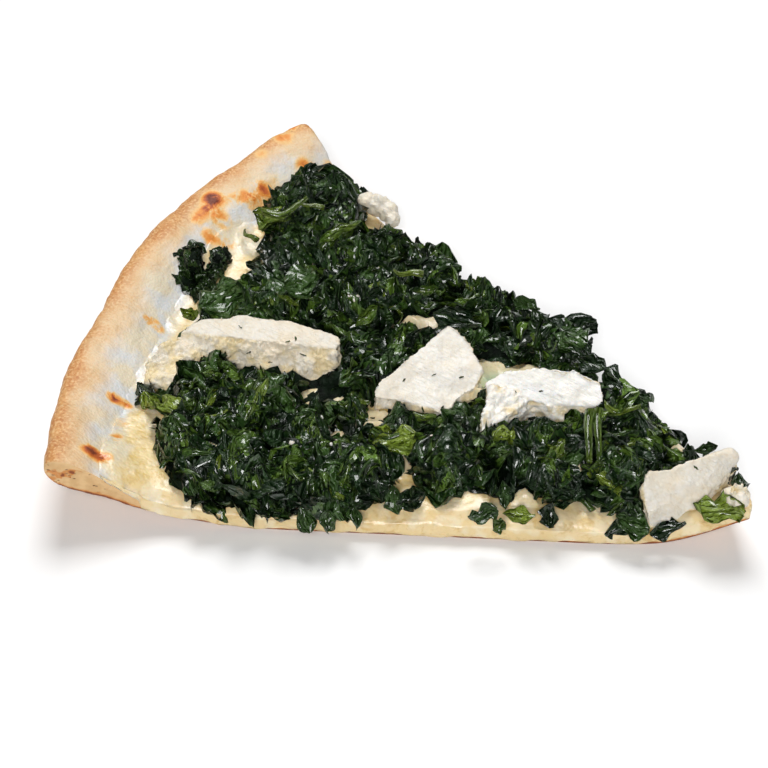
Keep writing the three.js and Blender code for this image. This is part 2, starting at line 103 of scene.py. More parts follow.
ahead = Vector((-math.sin(HEADING) * math.cos(DIP), math.cos(HEADING) * math.cos(DIP), -math.sin(DIP)))
level = Vector((math.cos(HEADING), math.sin(HEADING), 0))
upward = level.cross(ahead)
side = level * math.cos(ROLL) + upward * math.sin(ROLL)
top = upward * math.cos(ROLL) - level * math.sin(ROLL)

lens = bpy.data.cameras.new("camera")
lens.lens = 70
lens.sensor_width = 36
camera = bpy.data.objects.new("camera", lens)
turn = Matrix((side, top, -ahead)).transposed().to_4x4()
camera.matrix_world = Matrix.Translation(place(*EYE)) @ turn
bpy.context.scene.collection.objects.link(camera)
bpy.context.scene.camera = camera

# %% [markdown]
# ## Small tools for shader nodes
# Each material is a tree of nodes. These helpers add one node at a time and wire its inputs, so
# that a material reads like a recipe. Colours are written as they look on a screen, from 0 to
# 255, and turned into the linear values that the shader needs.

# %% Node helpers
def shade(red, green, blue):
    """A screen colour as linear light."""
    linear = [((c / 255 + 0.055) / 1.055) ** 2.4 if c > 10 else c / 255 / 12.92 for c in (red, green, blue)]
    return (*linear, 1)


def put(tree, kind, inputs=None, **settings):
    """Adds a node, with its settings, and sets or links its inputs."""
    made = tree.nodes.new(kind)
    for key, value in settings.items():
        setattr(made, key, value)
    for key, value in (inputs or {}).items():
        if isinstance(value, bpy.types.NodeSocket):
            tree.links.new(value, made.inputs[key])
        else:
            made.inputs[key].default_value = value
    return made


def mix(tree, share, a, b):
    """Blends from one colour to another by a share from 0 to 1."""
    return put(tree, "ShaderNodeMix", {0: share, 6: a, 7: b}, data_type="RGBA").outputs[2]


def calc(tree, way, a, b=0.0, c=0.0):
    """One sum of up to three values."""
    return put(tree, "ShaderNodeMath", {0: a, 1: b, 2: c}, operation=way).outputs[0]


def fade(tree, value, low, high, out_low=0.0, out_high=1.0):
    """Runs smoothly from one value to another as the input goes from low to high."""
    inputs = {"Value": value, "From Min": low, "From Max": high, "To Min": out_low, "To Max": out_high}
    return put(tree, "ShaderNodeMapRange", inputs, interpolation_type="SMOOTHSTEP").outputs[0]


def noise(tree, where, size, detail=3.0, roughness=0.55, distortion=0.0):
    """Cloudy noise whose lumps are about that many metres across."""
    inputs = {"Vector": where, "Scale": 1 / size, "Detail": detail}
    inputs |= {"Roughness": roughness, "Distortion": distortion}
    return put(tree, "ShaderNodeTexNoise", inputs).outputs[0]


def attribute(tree, name):
    """A value stored on the mesh."""
    return put(tree, "ShaderNodeAttribute", attribute_name=name).outputs["Fac"]


def new_material(name, **constants):
    """A material with one Principled shader, whose constant inputs are set by name."""
    material = bpy.data.materials.new(name)
    material.use_nodes = True
    shader = material.node_tree.nodes["Principled BSDF"]
    for key, value in constants.items():
        shader.inputs[key.replace("_", " ")].default_value = value
    return material, material.node_tree, shader


def bump(tree, shader, height, distance, strength):
    """Raises the surface by a height from 0 to 1, over a distance in metres."""
    inputs = {"Height": height, "Distance": distance, "Strength": strength}
    made = put(tree, "ShaderNodeBump", inputs)
    tree.links.new(made.outputs[0], shader.inputs["Normal"])


def here(tree):
    """The place on the slice, which every pattern follows."""
    return put(tree, "ShaderNodeTexCoord").outputs["Object"]


print("node helpers ready; white is", shade(255, 255, 255))

# %% [markdown]
# ## Shared effect: flecks
# Baked dough, cheese and ricotta all have fine light and dark flecks. One node group makes them
# for all three: cloudy blotches with a finer grain over them, put out as one mask.

# %% Fleck group
flecks = bpy.data.node_groups.new("flecks", "ShaderNodeTree")
for name, kind, way in (
    ("Vector", "NodeSocketVector", "INPUT"),
    ("Blotch", "NodeSocketFloat", "INPUT"),
    ("Grain", "NodeSocketFloat", "INPUT"),
    ("Mask", "NodeSocketFloat", "OUTPUT"),
    ("Fine", "NodeSocketFloat", "OUTPUT"),
):
    flecks.interface.new_socket(name=name, in_out=way, socket_type=kind)
given = flecks.nodes.new("NodeGroupInput")
result = flecks.nodes.new("NodeGroupOutput")
inputs = {"Vector": given.outputs["Vector"], "Scale": given.outputs["Blotch"], "Detail": 4.0}
cloud = put(flecks, "ShaderNodeTexNoise", inputs)
inputs = {"Vector": given.outputs["Vector"], "Scale": given.outputs["Grain"], "Detail": 2.0}
grain = put(flecks, "ShaderNodeTexNoise", inputs)
both = calc(flecks, "MULTIPLY_ADD", grain.outputs[0], 0.45, calc(flecks, "MULTIPLY", cloud.outputs[0], 0.55))
flecks.links.new(both, result.inputs["Mask"])
flecks.links.new(grain.outputs[0], result.inputs["Fine"])


def fleck(tree, where, blotch, grain_size):
    """The group in a material, with sizes in metres: its mixed mask and its fine grain."""
    made = put(tree, "ShaderNodeGroup", node_tree=flecks)
    tree.links.new(where, made.inputs["Vector"])
    made.inputs["Blotch"].default_value = 1 / blotch
    made.inputs["Grain"].default_value = 1 / grain_size
    return made.outputs["Mask"], made.outputs["Fine"]


print("fleck group:", len(flecks.nodes), "nodes")

# %% [markdown]
# ## Copying and refining a solid
# The solids are made of few flat faces. A copy is merged into one skin, its triangles are paired
# into quads, and its sharp edges, where the knife cut, are creased. A Subdivision Surface
# modifier then rounds everything else. Displace modifiers add lumps of several sizes.

# %% Refining helpers
def choose(obj):
    """Makes one object the only selected and active one."""
    bpy.ops.object.select_all(action="DESELECT")
    obj.select_set(True)
    bpy.context.view_layer.objects.active = obj


def copy_solid(node, name):
    """An own copy of a solid, merged and with its triangles paired."""
    solid = frame["nodes"][node]
    piece = bpy.data.objects.new(name, solid.data.copy())
    piece.data.name = name
    piece.data.materials.clear()
    bpy.context.scene.collection.objects.link(piece)
    choose(piece)
    bpy.ops.object.mode_set(mode="EDIT")
    bpy.ops.mesh.select_all(action="SELECT")
    bpy.ops.mesh.remove_doubles(threshold=2e-6)
    bpy.ops.mesh.tris_convert_to_quads(face_threshold=math.radians(50), shape_threshold=math.radians(60))
    bpy.ops.object.mode_set(mode="OBJECT")
    return piece


def apply_modifier(obj, kind, **settings):
    """Adds a modifier, sets it up and applies it at once."""
    choose(obj)
    made = obj.modifiers.new(kind.lower(), kind)
    for key, value in settings.items():
        setattr(made, key, value)
    bpy.ops.object.modifier_apply(modifier=made.name)


def refine(obj, levels, sharp=None, crease=0.97):
    """Rounds a piece by subdividing it, keeping edges sharper than an angle."""
    choose(obj)
    if sharp is not None:
        bpy.ops.object.mode_set(mode="EDIT")
        bpy.ops.mesh.select_all(action="DESELECT")
        bpy.ops.mesh.select_mode(type="EDGE")
        bpy.ops.mesh.edges_select_sharp(sharpness=math.radians(sharp))
        bpy.ops.transform.edge_crease(value=crease)
        bpy.ops.object.mode_set(mode="OBJECT")
    apply_modifier(obj, "SUBSURF", levels=levels, render_levels=levels)


def roughen(obj, size, height, group="", mid=0.5):
    """Pushes the skin in and out by cloudy noise of one size, within a vertex group."""
    pattern = bpy.data.textures.new(f"{obj.name} {size}", "CLOUDS")
    pattern.noise_scale = size
    settings = {"texture": pattern, "strength": height, "mid_level": mid, "vertex_group": group}
    apply_modifier(obj, "DISPLACE", texture_coords="LOCAL", **settings)


print("refining helpers ready for", len(frame["nodes"]), "solids")

# %% [markdown]
# ## Masks on the skin
# Much of what shows on a slice depends on where it is: near the crust, at a cut, in a browned
# place. Such a mask is worked out for all points of a mesh at once, with arrays, and stored twice:
# as a vertex group, which limits a modifier, and as an attribute, which a material can read.

# %% Mask helpers
def points_of(obj):
    """All vertex positions as an array."""
    flat = np.empty(len(obj.data.vertices) * 3, np.float32)
    obj.data.vertices.foreach_get("co", flat)
    return flat.reshape(-1, 3).astype(float)


def store(obj, name, values):
    """An attribute with one value for each point of a piece."""
    made = obj.data.attributes.new(name, "FLOAT", "POINT")
    made.data.foreach_set("value", np.asarray(values, np.float32))


def weigh(obj, name, weights):
    """A vertex group from an array of weights, and an attribute of the same name."""
    group = obj.vertex_groups.new(name=name)
    for step in np.unique(np.round(weights, 2)):
        if step > 0:
            group.add(np.flatnonzero(np.round(weights, 2) == step).tolist(), float(step), "REPLACE")
    store(obj, name + "_mask", weights)


def smooth(obj, angle):
    """Shades a piece smooth, but for edges sharper than an angle."""
    choose(obj)
    bpy.ops.object.shade_smooth_by_angle(angle=math.radians(angle))


def skin(*objects):
    """A search tree of the faces of one or more pieces."""
    points, faces = [], []
    for obj in objects:
        start = len(points)
        points += [v.co for v in obj.data.vertices]
        faces += [[i + start for i in p.vertices] for p in obj.data.polygons]
    return BVHTree.FromPolygons(points, faces)


def inset_of(points):
    """Distance in from the pizza's outer edge, in millimetres, for points of the slice."""
    centre = APEX + PIZZA_CENTRE
    return (PIZZA_RADIUS - np.hypot(points[:, 0] - centre.x, points[:, 1] - centre.y)) / MM


def bell(points, x, y, radius):
    """1 at a place given from the apex, fading to 0 over a radius in millimetres."""
    spot = place(x, y)
    away = np.hypot(points[:, 0] - spot.x, points[:, 1] - spot.y) / MM / radius
    return np.exp(-2.5 * away**2)


def beside_cut(points):
    """Distance in from the nearer cut, in millimetres. The cuts swell out a little."""
    east, north = (APEX.x - points[:, 0]) / MM, (points[:, 1] - APEX.y) / MM
    rho = np.hypot(east, north)
    front = np.interp(rho, (12, 45, 220), (0.5, 1.9, 2.1))
    back = np.interp(rho, (14, 45, 80, 115, 155, 200), (0, 2.2, 3.2, 2.4, 0.3, 0))
    inside = north - np.where(north < 0, -front, back)
    return east * math.sin(CUT_ANGLE) - np.abs(inside) * math.cos(CUT_ANGLE)


def move_to(obj, points):
    """Moves all points of a piece at once."""
    obj.data.vertices.foreach_set("co", points.astype(np.float32).ravel())
    obj.data.update()


def dress(piece, node, material):
    """Gives a finished piece its material, hides the solid it replaces and attaches it to the root body."""
    piece.data.materials.append(material)
    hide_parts(node)
    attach(piece, "root")


print("the tip is", round(float(inset_of(np.array([tip]))[0])), "mm in from the round edge")

# %% [markdown]
# ## Dough
# The crust is puffed and lumpy, with blisters that have browned, and the base is thin and smooth.
# The copy of the solid is rounded, and the rim gets lumps of three sizes by Displace modifiers that
# only reach the crust. The browned places are a list of spots, and there the skin rises a little.

# %% Dough shape
SPOTS = [  # x, y, radius and depth of colour of the browned blisters
    (-218, 44.5, 4.8, 1.4), (-217, 39, 4.6, 0.95), (-217, 33, 4, 0.75), (-211.5, 39, 6, 0.5),
    (-209, 54, 4.6, 0.85), (-208.5, 61, 4.4, 0.8), (-203.5, 58.5, 5.4, 0.8), (-210, 30, 5, 0.55),
    (-205, 33, 4, 0.5), (-213, 50, 5, 0.5),
    (-203.5, -14, 3.1, 0.85), (-200.5, -14, 3, 0.5), (-191, -50.2, 3, 1.2), (-187.5, -48.5, 2.6, 0.75),
    (-184.5, -56.5, 3.4, 0.78), (-180, -63.5, 3, 0.65), (-180, -75.5, 3.6, 1.15), (-176, -74.5, 3.4, 0.9),
    (-202, 80.6, 5, 0.95), (-196, 88, 5, 0.75), (-215, 86, 6, 0.6), (-215.5, 94, 5.5, 0.65),
    (-217, 74, 5, 0.38), (-206, 68, 5, 0.3),
]


def browning(points):
    """How far each point has browned, from 0 to 1."""
    return np.clip(sum(depth * bell(points, x, y, r) for x, y, r, depth in SPOTS), 0, 1)


dough = copy_solid("dough", "dough_skin")
refine(dough, 3, sharp=50)
spots = points_of(dough)
inset = inset_of(spots)
weigh(dough, "rim", np.clip((30 - inset) / 10, 0, 1))
weigh(dough, "browned", browning(spots))
roughen(dough, 0.02, 1.8 * MM, "rim")
roughen(dough, 0.008, 1.1 * MM, "rim")
roughen(dough, 0.003, 0.45 * MM, "rim")
roughen(dough, 0.003, 0.9 * MM, "browned", mid=0.2)
print("dough:", len(SPOTS), "browned spots")

# %% [markdown]
# The dough's bottom edge is baked brown, as a thin line along the cuts. Its colour follows the
# height over the bottom, which bends with the slice, so no plain coordinate can give it. A ray
# from below, a little further in than each point, finds the bottom there, and the height over it
# is stored on the mesh.

# %% Height over the dough's bottom
def depth_above(tree_of_faces, points):
    """Height of each point over the bottom, measured a little further in."""
    middle = place(-120, 0)
    inward = 0.4 * MM
    found = np.zeros(len(points))
    for i, (x, y, z) in enumerate(points):
        step = Vector((middle.x - x, middle.y - y, 0)).normalized() * inward
        hit = tree_of_faces.ray_cast(Vector((x + step.x, y + step.y, LOW)), UP)[0]
        found[i] = z - hit.z if hit is not None else 0
    return found


depths = depth_above(skin(dough), points_of(dough)) / MM
store(dough, "depth_mm", depths)
smooth(dough, 40)
print("dough:", len(dough.data.polygons), "faces, up to", round(depths.max(), 1), "mm thick")

# %% [markdown]
# Dough that browns in an oven runs through straw, orange and brown to nearly black, in ragged
# patches, and flour that didn't brown stays milky white. The cheese has both at its thin edge too,
# so each is a helper that any material can call.

# %% Browning and flour
def toast(tree, colour, where):
    """Runs a colour through straw, orange and brown where the piece has browned, in ragged patches."""
    ragged = fade(tree, noise(tree, where, 0.0055, 5, 0.6, 0.6), 0.32, 0.62, 0.3, 1.35)
    heat = calc(tree, "MULTIPLY", attribute(tree, "browned_mask"), ragged)
    colour = mix(tree, fade(tree, heat, 0.08, 0.4), colour, shade(230, 188, 124))
    colour = mix(tree, fade(tree, heat, 0.28, 0.64), colour, shade(222, 142, 58))
    colour = mix(tree, fade(tree, heat, 0.6, 0.95), colour, shade(184, 92, 36))
    return mix(tree, fade(tree, heat, 0.95, 1.3), colour, shade(112, 46, 22))


def flour(tree, where):
    """The floury white of the rim's inner slope, with milky patches."""
    milky = fade(tree, noise(tree, where, 0.009, 3), 0.38, 0.62)
    return mix(tree, milky, shade(208, 209, 208), shade(220, 208, 182))


# %% [markdown]
# The dough's colour runs through four bands by the distance in from the edge: golden at the
# outside, where it faced the oven's heat, tan over the crest, floury white on the inner slope and
# pale under the cheese. Noise breaks up each border, and light flecks lie over the golden part.

# %% Baked dough
# Distances in from the pizza's edge, in metres, over which one band gives way to the next
GOLDEN_TO_TAN, TAN_TO_FLOURY, FLOURY_TO_PALE = (0.003, 0.009), (0.007, 0.016), (0.026, 0.034)

baked, tree, shader = new_material("baked dough", Roughness=0.6, Subsurface_Weight=0.12)
shader.inputs["Subsurface Radius"].default_value = (0.004, 0.0022, 0.0012)
where = here(tree)
centre = APEX + PIZZA_CENTRE
flat = put(tree, "ShaderNodeVectorMath", {0: where, 1: centre}, operation="SUBTRACT").outputs[0]
flat = put(tree, "ShaderNodeVectorMath", {0: flat, 1: (1, 1, 0)}, operation="MULTIPLY").outputs[0]
away = put(tree, "ShaderNodeVectorMath", {0: flat}, operation="LENGTH").outputs["Value"]
inset = calc(tree, "SUBTRACT", PIZZA_RADIUS, away)
blotch, fine = fleck(tree, where, 0.012, 0.0009)
wander = calc(tree, "MULTIPLY_ADD", noise(tree, where, 0.016, 4), 0.018, -0.009)
edge = calc(tree, "ADD", inset, wander)
golden = mix(tree, fade(tree, blotch, 0.36, 0.62), shade(192, 130, 74), shade(212, 160, 102))
golden = mix(tree, fade(tree, fine, 0.54, 0.64, 0, 0.55), golden, shade(230, 192, 142))
golden = mix(tree, fade(tree, fine, 0.45, 0.35, 0, 0.4), golden, shade(170, 104, 54))
tan = mix(tree, fade(tree, blotch, 0.35, 0.65), shade(214, 176, 128), shade(222, 194, 154))
colour = mix(tree, fade(tree, edge, *GOLDEN_TO_TAN), golden, tan)
colour = mix(tree, fade(tree, edge, *TAN_TO_FLOURY), colour, flour(tree, where))
colour = mix(tree, fade(tree, edge, *FLOURY_TO_PALE), colour, shade(222, 196, 146))
colour = toast(tree, colour, where)
low = attribute(tree, "depth_mm")
scorched = mix(tree, fade(tree, blotch, 0.35, 0.6), shade(190, 124, 66), shade(222, 170, 108))
colour = mix(tree, fade(tree, low, 1.6, 0.3), colour, scorched)
tree.links.new(colour, shader.inputs["Base Color"])
pits = calc(tree, "MULTIPLY_ADD", noise(tree, where, 0.0042, 3), 1.0, calc(tree, "MULTIPLY", fine, 0.5))
bump(tree, shader, pits, 0.0006, 0.8)
print(baked.name, len(tree.nodes), "nodes")

# %% [markdown]
# At the cuts the knife opened the crumb, which is paler, damp under the cheese and full of small
# flat holes. It gets its own material, so that it stays sharp at the knife's edge. Squashed cells
# make the holes, painted darker as shade, and the height over the bottom draws the baked underside's brown
# line.

# %% Dough crumb
crumb, tree, shader = new_material("dough crumb", Roughness=0.7, Subsurface_Weight=0.15)
shader.inputs["Subsurface Radius"].default_value = (0.004, 0.0022, 0.0012)
where = here(tree)
squashed = put(tree, "ShaderNodeMapping", {"Vector": where, "Scale": (0.75, 0.75, 1.3)}).outputs[0]
holes = put(tree, "ShaderNodeTexVoronoi", {"Vector": squashed, "Scale": 520.0}).outputs[0]
size = noise(tree, where, 0.006, 2)
hole = fade(tree, calc(tree, "ADD", holes, calc(tree, "MULTIPLY", size, 0.55)), 0.46, 0.34)
low = attribute(tree, "depth_mm")
cloudy = fade(tree, noise(tree, where, 0.003, 3), 0.35, 0.65)
pale = mix(tree, cloudy, shade(200, 162, 112), shade(214, 178, 128))
# Painted shade: the holes in the crumb are darkened.
colour = mix(tree, hole, pale, shade(140, 98, 58))
along_x = put(tree, "ShaderNodeSeparateXYZ", {0: where}).outputs[0]
wet = fade(tree, along_x, place(-168, 0).x, place(-140, 0).x)
colour = mix(tree, wet, colour, shade(206, 170, 118))
ragged = calc(tree, "MULTIPLY_ADD", noise(tree, where, 0.004, 4), 2.0, calc(tree, "SUBTRACT", low, 1.0))
colour = mix(tree, fade(tree, ragged, 1.5, 1.0), colour, shade(196, 130, 66))
colour = mix(tree, fade(tree, ragged, 0.95, 0.6), colour, shade(130, 66, 28))
tree.links.new(colour, shader.inputs["Base Color"])
bump(tree, shader, calc(tree, "SUBTRACT", size, hole), 0.0006, 0.8)
print(crumb.name, len(tree.nodes), "nodes")

# %% [markdown]
# Which faces show the crumb is a matter of place: they are steep, and they lie along one of the two
# cuts, seen from the apex, or at the torn tip. Those faces take the second material.

# %% Crumb on the cut walls
STEEP = 0.6  # a face whose normal rises less than this is part of a wall
AT_CUT = 0.012  # radians from a cut within which a face belongs to its wall
TIP_START, TIP_END = 0.012, 0.016  # metres from the apex where the torn tip's faces begin

dress(dough, "dough", baked)
dough.data.materials.append(crumb)
walls = 0
for face in dough.data.polygons:
    theta = math.atan2(face.center.y - APEX.y, APEX.x - face.center.x)
    steep = abs(face.normal.z) < STEEP
    at_cut = CUT_ANGLE - abs(theta) < AT_CUT and face.center.x < APEX.x - TIP_START
    if steep and (at_cut or face.center.x > APEX.x - TIP_END):
        face.material_index = 1
        walls += 1
print("dough: crumb on", walls, "faces")

# %% [markdown]
# ## Melted cheese
# The mozzarella has melted into a glossy sheet of soft lumps. The copy of its solid is rounded and
# gets lumps of two sizes on top and one on its sides, each within its own mask. It browned in the
# same places as the dough.

# %% Cheese layer
cheese = copy_solid("melted_cheese", "cheese_layer")
refine(cheese, 3, sharp=50, crease=0.55)
spots = points_of(cheese)
weigh(cheese, "browned", browning(spots))
upper = np.array([max(0, v.normal.z) for v in cheese.data.vertices])
weigh(cheese, "upper", upper)
beside = beside_cut(spots)
on_side = np.clip(1 - beside / 0.7, 0, 1) * (inset_of(spots) > 24)
weigh(cheese, "side", on_side)
roughen(cheese, 0.014, 1.5 * MM, "upper")
roughen(cheese, 0.005, 0.7 * MM, "upper")
roughen(cheese, 0.009, 1.5 * MM, "side", mid=0.3)
print("cheese:", int((on_side > 0.5).sum()), "points on the cut sides")

# %% [markdown]
# Along the cuts the cheese has run down over the dough in tongues and bulges out a little, but the
# brown line of the dough's bottom stays bare below it. Each point of the sides is drawn down by an
# amount that waves along the cut, the lower ones most, and never below a ledge over the bottom.

# %% Cheese that runs down the cuts
SIDE_DEEP = 2.8  # millimetres over the dough above which the side no longer sinks
INSIDE = 0.8 * MM  # rays that look for the dough are cast this far in from the side

spots = points_of(cheese)
bed = skin(dough)
run = np.hypot(spots[:, 0] - APEX.x, spots[:, 1] - APEX.y) / MM
ledge = 1.9 + 0.3 * np.sin(run / 4.1) + 0.2 * np.sin(run / 1.7)
tongue = 4.1 + 0.35 * np.sin(run / 2.9) + 0.3 * np.sin(run / 1.13 + 1) + 0.3 * np.sin(run / 7.7)
for i in np.flatnonzero(on_side > 0.5):
    x, y, z = spots[i]
    east, north = APEX.x - x, y - APEX.y
    outward = Vector((-math.sin(CUT_ANGLE), math.copysign(math.cos(CUT_ANGLE), north), 0))
    hit = bed.ray_cast(Vector((x, y, HIGH)) - outward * INSIDE, DOWN)[0]
    over = (z - hit.z) / MM if hit is not None else 2
    base = bed.ray_cast(Vector((x, y, LOW)) - outward * INSIDE, UP)[0]
    lowest = base.z + ledge[i] * MM if base is not None else -1
    sink = max(0, 1 - over / SIDE_DEEP) * on_side[i]
    bulge = 0.2 + 0.6 * math.sin(math.pi * min(1, max(0, over / SIDE_DEEP)))
    spots[i] += np.array(outward) * bulge * on_side[i] * MM
    spots[i, 2] = max(z - tongue[i] * sink * MM, lowest)
shoulder = np.clip(1 - beside / 4.5, 0, 1) ** 2 * (inset_of(spots) > 20)
weigh(cheese, "verge", np.clip(1.3 - beside / 6, 0, 1) * (inset_of(spots) > 20))
spots[:, 2] -= 1.3 * shoulder * np.clip(upper + on_side * 0.6, 0, 1) * MM
print("cheese: sides between", round(ledge.min(), 1), "and", round(ledge.max(), 1), "mm over the bottom")

# %% [markdown]
# Towards the crust the cheese thins out and lets the floury dough show through. Points near its
# edge are lowered on to the dough, and how thin it is there is stored for the material.

# %% Thin edge at the crust
thin = np.zeros(len(spots))
for i in np.flatnonzero(inset_of(spots) < 36):
    x, y, z = spots[i]
    hit = bed.ray_cast(Vector((x, y, HIGH)), DOWN)[0]
    over = (z - hit.z) / MM if hit is not None else 3
    thin[i] = max(0, min(1, 1.25 - over / 2.8))
    spots[i, 2] -= min(1.75 * thin[i], over + 0.3) * MM
print("cheese: thin at", int((thin > 0.5).sum()), "points")

# %% [markdown]
# Here and there the leaves lie apart and the cheese wells up between them. These gaps are a list
# of places. The layer rises there to just under the top of the heap's solid, which a ray from above
# finds, as a low level would stay hidden between the leaves. One gap has taken on the leaves' green.

# %% Cheese that wells up in the gaps
GAPS = [  # x, y and radius of the places where cheese wells up between the leaves of the heap
    (-129, 27, 5), (-124.5, 29.5, 3.5), (-142, -16, 4.5), (-138, -12.5, 3.5), (-120.5, -14, 3.6),
    (-118, -19.5, 2.8), (-101, 22.5, 4.5), (-98.5, 25, 3.5), (-95.5, 16, 6.5), (-92, 21.5, 5.5),
    (-98, 10.5, 4), (-88, 26, 3.5), (-60, -6.5, 4.2), (-124, -31, 2.4), (-66.5, -25, 2),
    (-154, -52, 2.2), (-104, -30, 2.2), (-64, 30, 3), (-33, 15, 3),
]
UNDER_TOP = 1.7 * MM  # how far below the heap's top the cheese ends

heap_top = skin(frame["nodes"]["spinach_heap"])
welled = np.zeros(len(spots))
for i in np.flatnonzero(upper > 0.5):
    x, y, z = spots[i]
    rise = max(min(1, 3.5 * bell(spots[i : i + 1], a, b, r + 1.5)[0]) for a, b, r in GAPS)
    welled[i] = rise
    hit = heap_top.ray_cast(Vector((x, y, HIGH)), DOWN)[0]
    if rise > 0.06 and hit is not None:
        spots[i, 2] += rise * max(0, hit.z - UNDER_TOP - z)
move_to(cheese, spots)
store(cheese, "thin", thin)
weigh(cheese, "welled", welled)
roughen(cheese, 0.0028, 0.7 * MM, "verge")
roughen(cheese, 0.003, 0.9 * MM, "welled")
weigh(cheese, "green", np.clip(1.5 * bell(spots, -94, 17, 9), 0, 1))
smooth(cheese, 60)
print("cheese:", len(cheese.data.polygons), "faces,", len(GAPS), "gaps")

# %% [markdown]
# Melted cheese is straw yellow with milky clouds and lets some light in. Its verge along the cuts
# is amber where the fat has run out, the gaps are creamier and the thin edge shows the floury
# dough. All of that is mixed in by the masks.

# %% Melted cheese
melted, tree, shader = new_material(
    "melted cheese", Subsurface_Weight=0.3, Coat_Weight=0.25, Coat_Roughness=0.2, Specular_IOR_Level=0.4
)
shader.inputs["Subsurface Radius"].default_value = (0.005, 0.003, 0.0015)
where = here(tree)
blotch, fine = fleck(tree, where, 0.008, 0.0016)
colour = mix(tree, fade(tree, blotch, 0.38, 0.6), shade(216, 186, 118), shade(230, 208, 156))
milky = fade(tree, noise(tree, where, 0.013, 3), 0.46, 0.62, 0, 0.85)
colour = mix(tree, milky, colour, shade(224, 214, 188))
amber = fade(tree, noise(tree, where, 0.005, 4, 0.6, 0.8), 0.5, 0.66, 0, 0.7)
verge = mix(tree, amber, shade(224, 200, 150), shade(196, 158, 88))
curdled = fade(tree, noise(tree, where, 0.007, 2), 0.5, 0.62, 0, 0.7)
verge = mix(tree, curdled, verge, shade(232, 220, 190))
colour = mix(tree, calc(tree, "MULTIPLY", attribute(tree, "verge_mask"), 0.85), colour, verge)
welling = fade(tree, attribute(tree, "welled_mask"), 0.1, 0.8, 0, 0.8)
colour = mix(tree, welling, colour, shade(216, 202, 168))
colour = mix(tree, attribute(tree, "green_mask"), colour, shade(168, 190, 158))
colour = mix(tree, fade(tree, attribute(tree, "thin"), 0.1, 0.75), colour, flour(tree, where))
colour = toast(tree, colour, where)
tree.links.new(colour, shader.inputs["Base Color"])
tree.links.new(fade(tree, fine, 0.3, 0.7, 0.26, 0.42), shader.inputs["Roughness"])
bump(tree, shader, calc(tree, "MULTIPLY_ADD", fine, 0.25, noise(tree, where, 0.0036, 2)), 0.0008, 0.7)
dress(cheese, "melted_cheese", melted)
print(melted.name, len(tree.nodes), "nodes")

# %% [markdown]
# ## Ricotta
# Fresh curd is white and matt, and lets light in. How white each dollop is comes from an attribute,
# partly a creamier tone and partly painted light, set for how brightly each dollop looks lit. Torn
# sides are creamy in patches, partly in tone and partly as painted shade, and the spoon has left faint
# strokes.

# %% Ricotta curd
curd, tree, shader = new_material("ricotta", Roughness=0.45, Subsurface_Weight=0.5)
shader.inputs["Subsurface Radius"].default_value = (0.003, 0.0025, 0.002)
where = here(tree)
blotch, fine = fleck(tree, where, 0.006, 0.0009)
torn = attribute(tree, "torn_mask")
white = attribute(tree, "white")
# Partly painted light: the whiteness set for each dollop makes it lighter or darker as it looks lit.
colour = mix(tree, white, shade(214, 206, 190), shade(243, 242, 239))
dull = mix(tree, white, shade(214, 198, 166), shade(232, 226, 212))
colour = mix(tree, fade(tree, blotch, 0.6, 0.4, 0, 0.5), colour, dull)
cloudy = fade(tree, noise(tree, where, 0.009, 3), 0.45, 0.65, 0, 0.55)
dried = calc(tree, "MULTIPLY", cloudy, calc(tree, "SUBTRACT", 1.0, white))
colour = mix(tree, dried, colour, shade(226, 206, 172))
# Partly painted shade: the torn sides are made creamy in patches, standing in part for their yellowish
# shade.
creamy = fade(tree, noise(tree, where, 0.006, 3), 0.4, 0.62)
colour = mix(tree, calc(tree, "MULTIPLY", torn, creamy), colour, shade(226, 208, 166))
tree.links.new(colour, shader.inputs["Base Color"])
strokes = put(tree, "ShaderNodeMapping", {"Vector": where, "Rotation": (0, 0, 0.6), "Scale": (0.3, 1.7, 1)})
striae = noise(tree, strokes.outputs[0], 0.0015, 3)
bump(tree, shader, calc(tree, "ADD", striae, calc(tree, "MULTIPLY", fine, 0.5)), 0.0006, 0.8)
print(curd.name, len(tree.nodes), "nodes")

# %% [markdown]
# Ricotta is spooned on cold. Where the spoon passed, the face is almost flat and meets its
# neighbours in a clear ridge. Elsewhere the curd has torn and is crumbly. Each dollop is a copy of
# its solid, remeshed finely, because Displace needs many small faces. Points that lie on one of the
# spoon's planes stay sleek. The others are marked as torn and get curds of three sizes.

# %% Ricotta dollops
# How white each dollop is, from 0 to 1: partly its tone, partly painted light for how lit it looks
WHITENESS_AND_PAINTED_LIGHT = {"ricotta_rim": 0.3, "ricotta_middle": 0.6, "ricotta_crescent": 1.0, "ricotta_tip": 0.4}
RICOTTA = {  # three points of each face that the spoon left
    "ricotta_rim": [((-183.6, -13, 22.6), (-143.5, 4, 18.8), (-163, -7, 20.4))],
    "ricotta_middle": [
        ((-114, 21, 21), (-119.5, 6, 19.2), (-98.5, 13.5, 16.4)),
        ((-123, -7, 15.4), (-98, 9, 14.6), (-108, -5.5, 11.6)),
    ],
    "ricotta_crescent": [((-94, 6.5, 18.6), (-82, 16, 21.8), (-61, 18, 17.4))],
    "ricotta_tip": [
        ((-36, -9.5, 21), (-20, 5, 26), (-26.5, -13, 8.5)),
        ((-36, -9, 21.2), (-19.5, 6, 24.6), (-27, -5, 24.4)),
    ],
    "ricotta_crumb": [],
}


def spooned(points, faces):
    """How surely each point lies on one of the spoon's faces, from 0 to 1."""
    sure = np.zeros(len(points))
    for corners in faces:
        a, b, c = (place(*corner) for corner in corners)
        out = (b - a).cross(c - a).normalized()
        off = np.abs((points - np.array(a)) @ np.array(out)) / MM
        sure = np.maximum(sure, np.clip(1.5 - off / 0.35, 0, 1))
    return sure


def whiten(obj, value):
    """Notes on a piece how white its curd is, from 0 to 1."""
    store(obj, "white", np.full(len(obj.data.vertices), value))


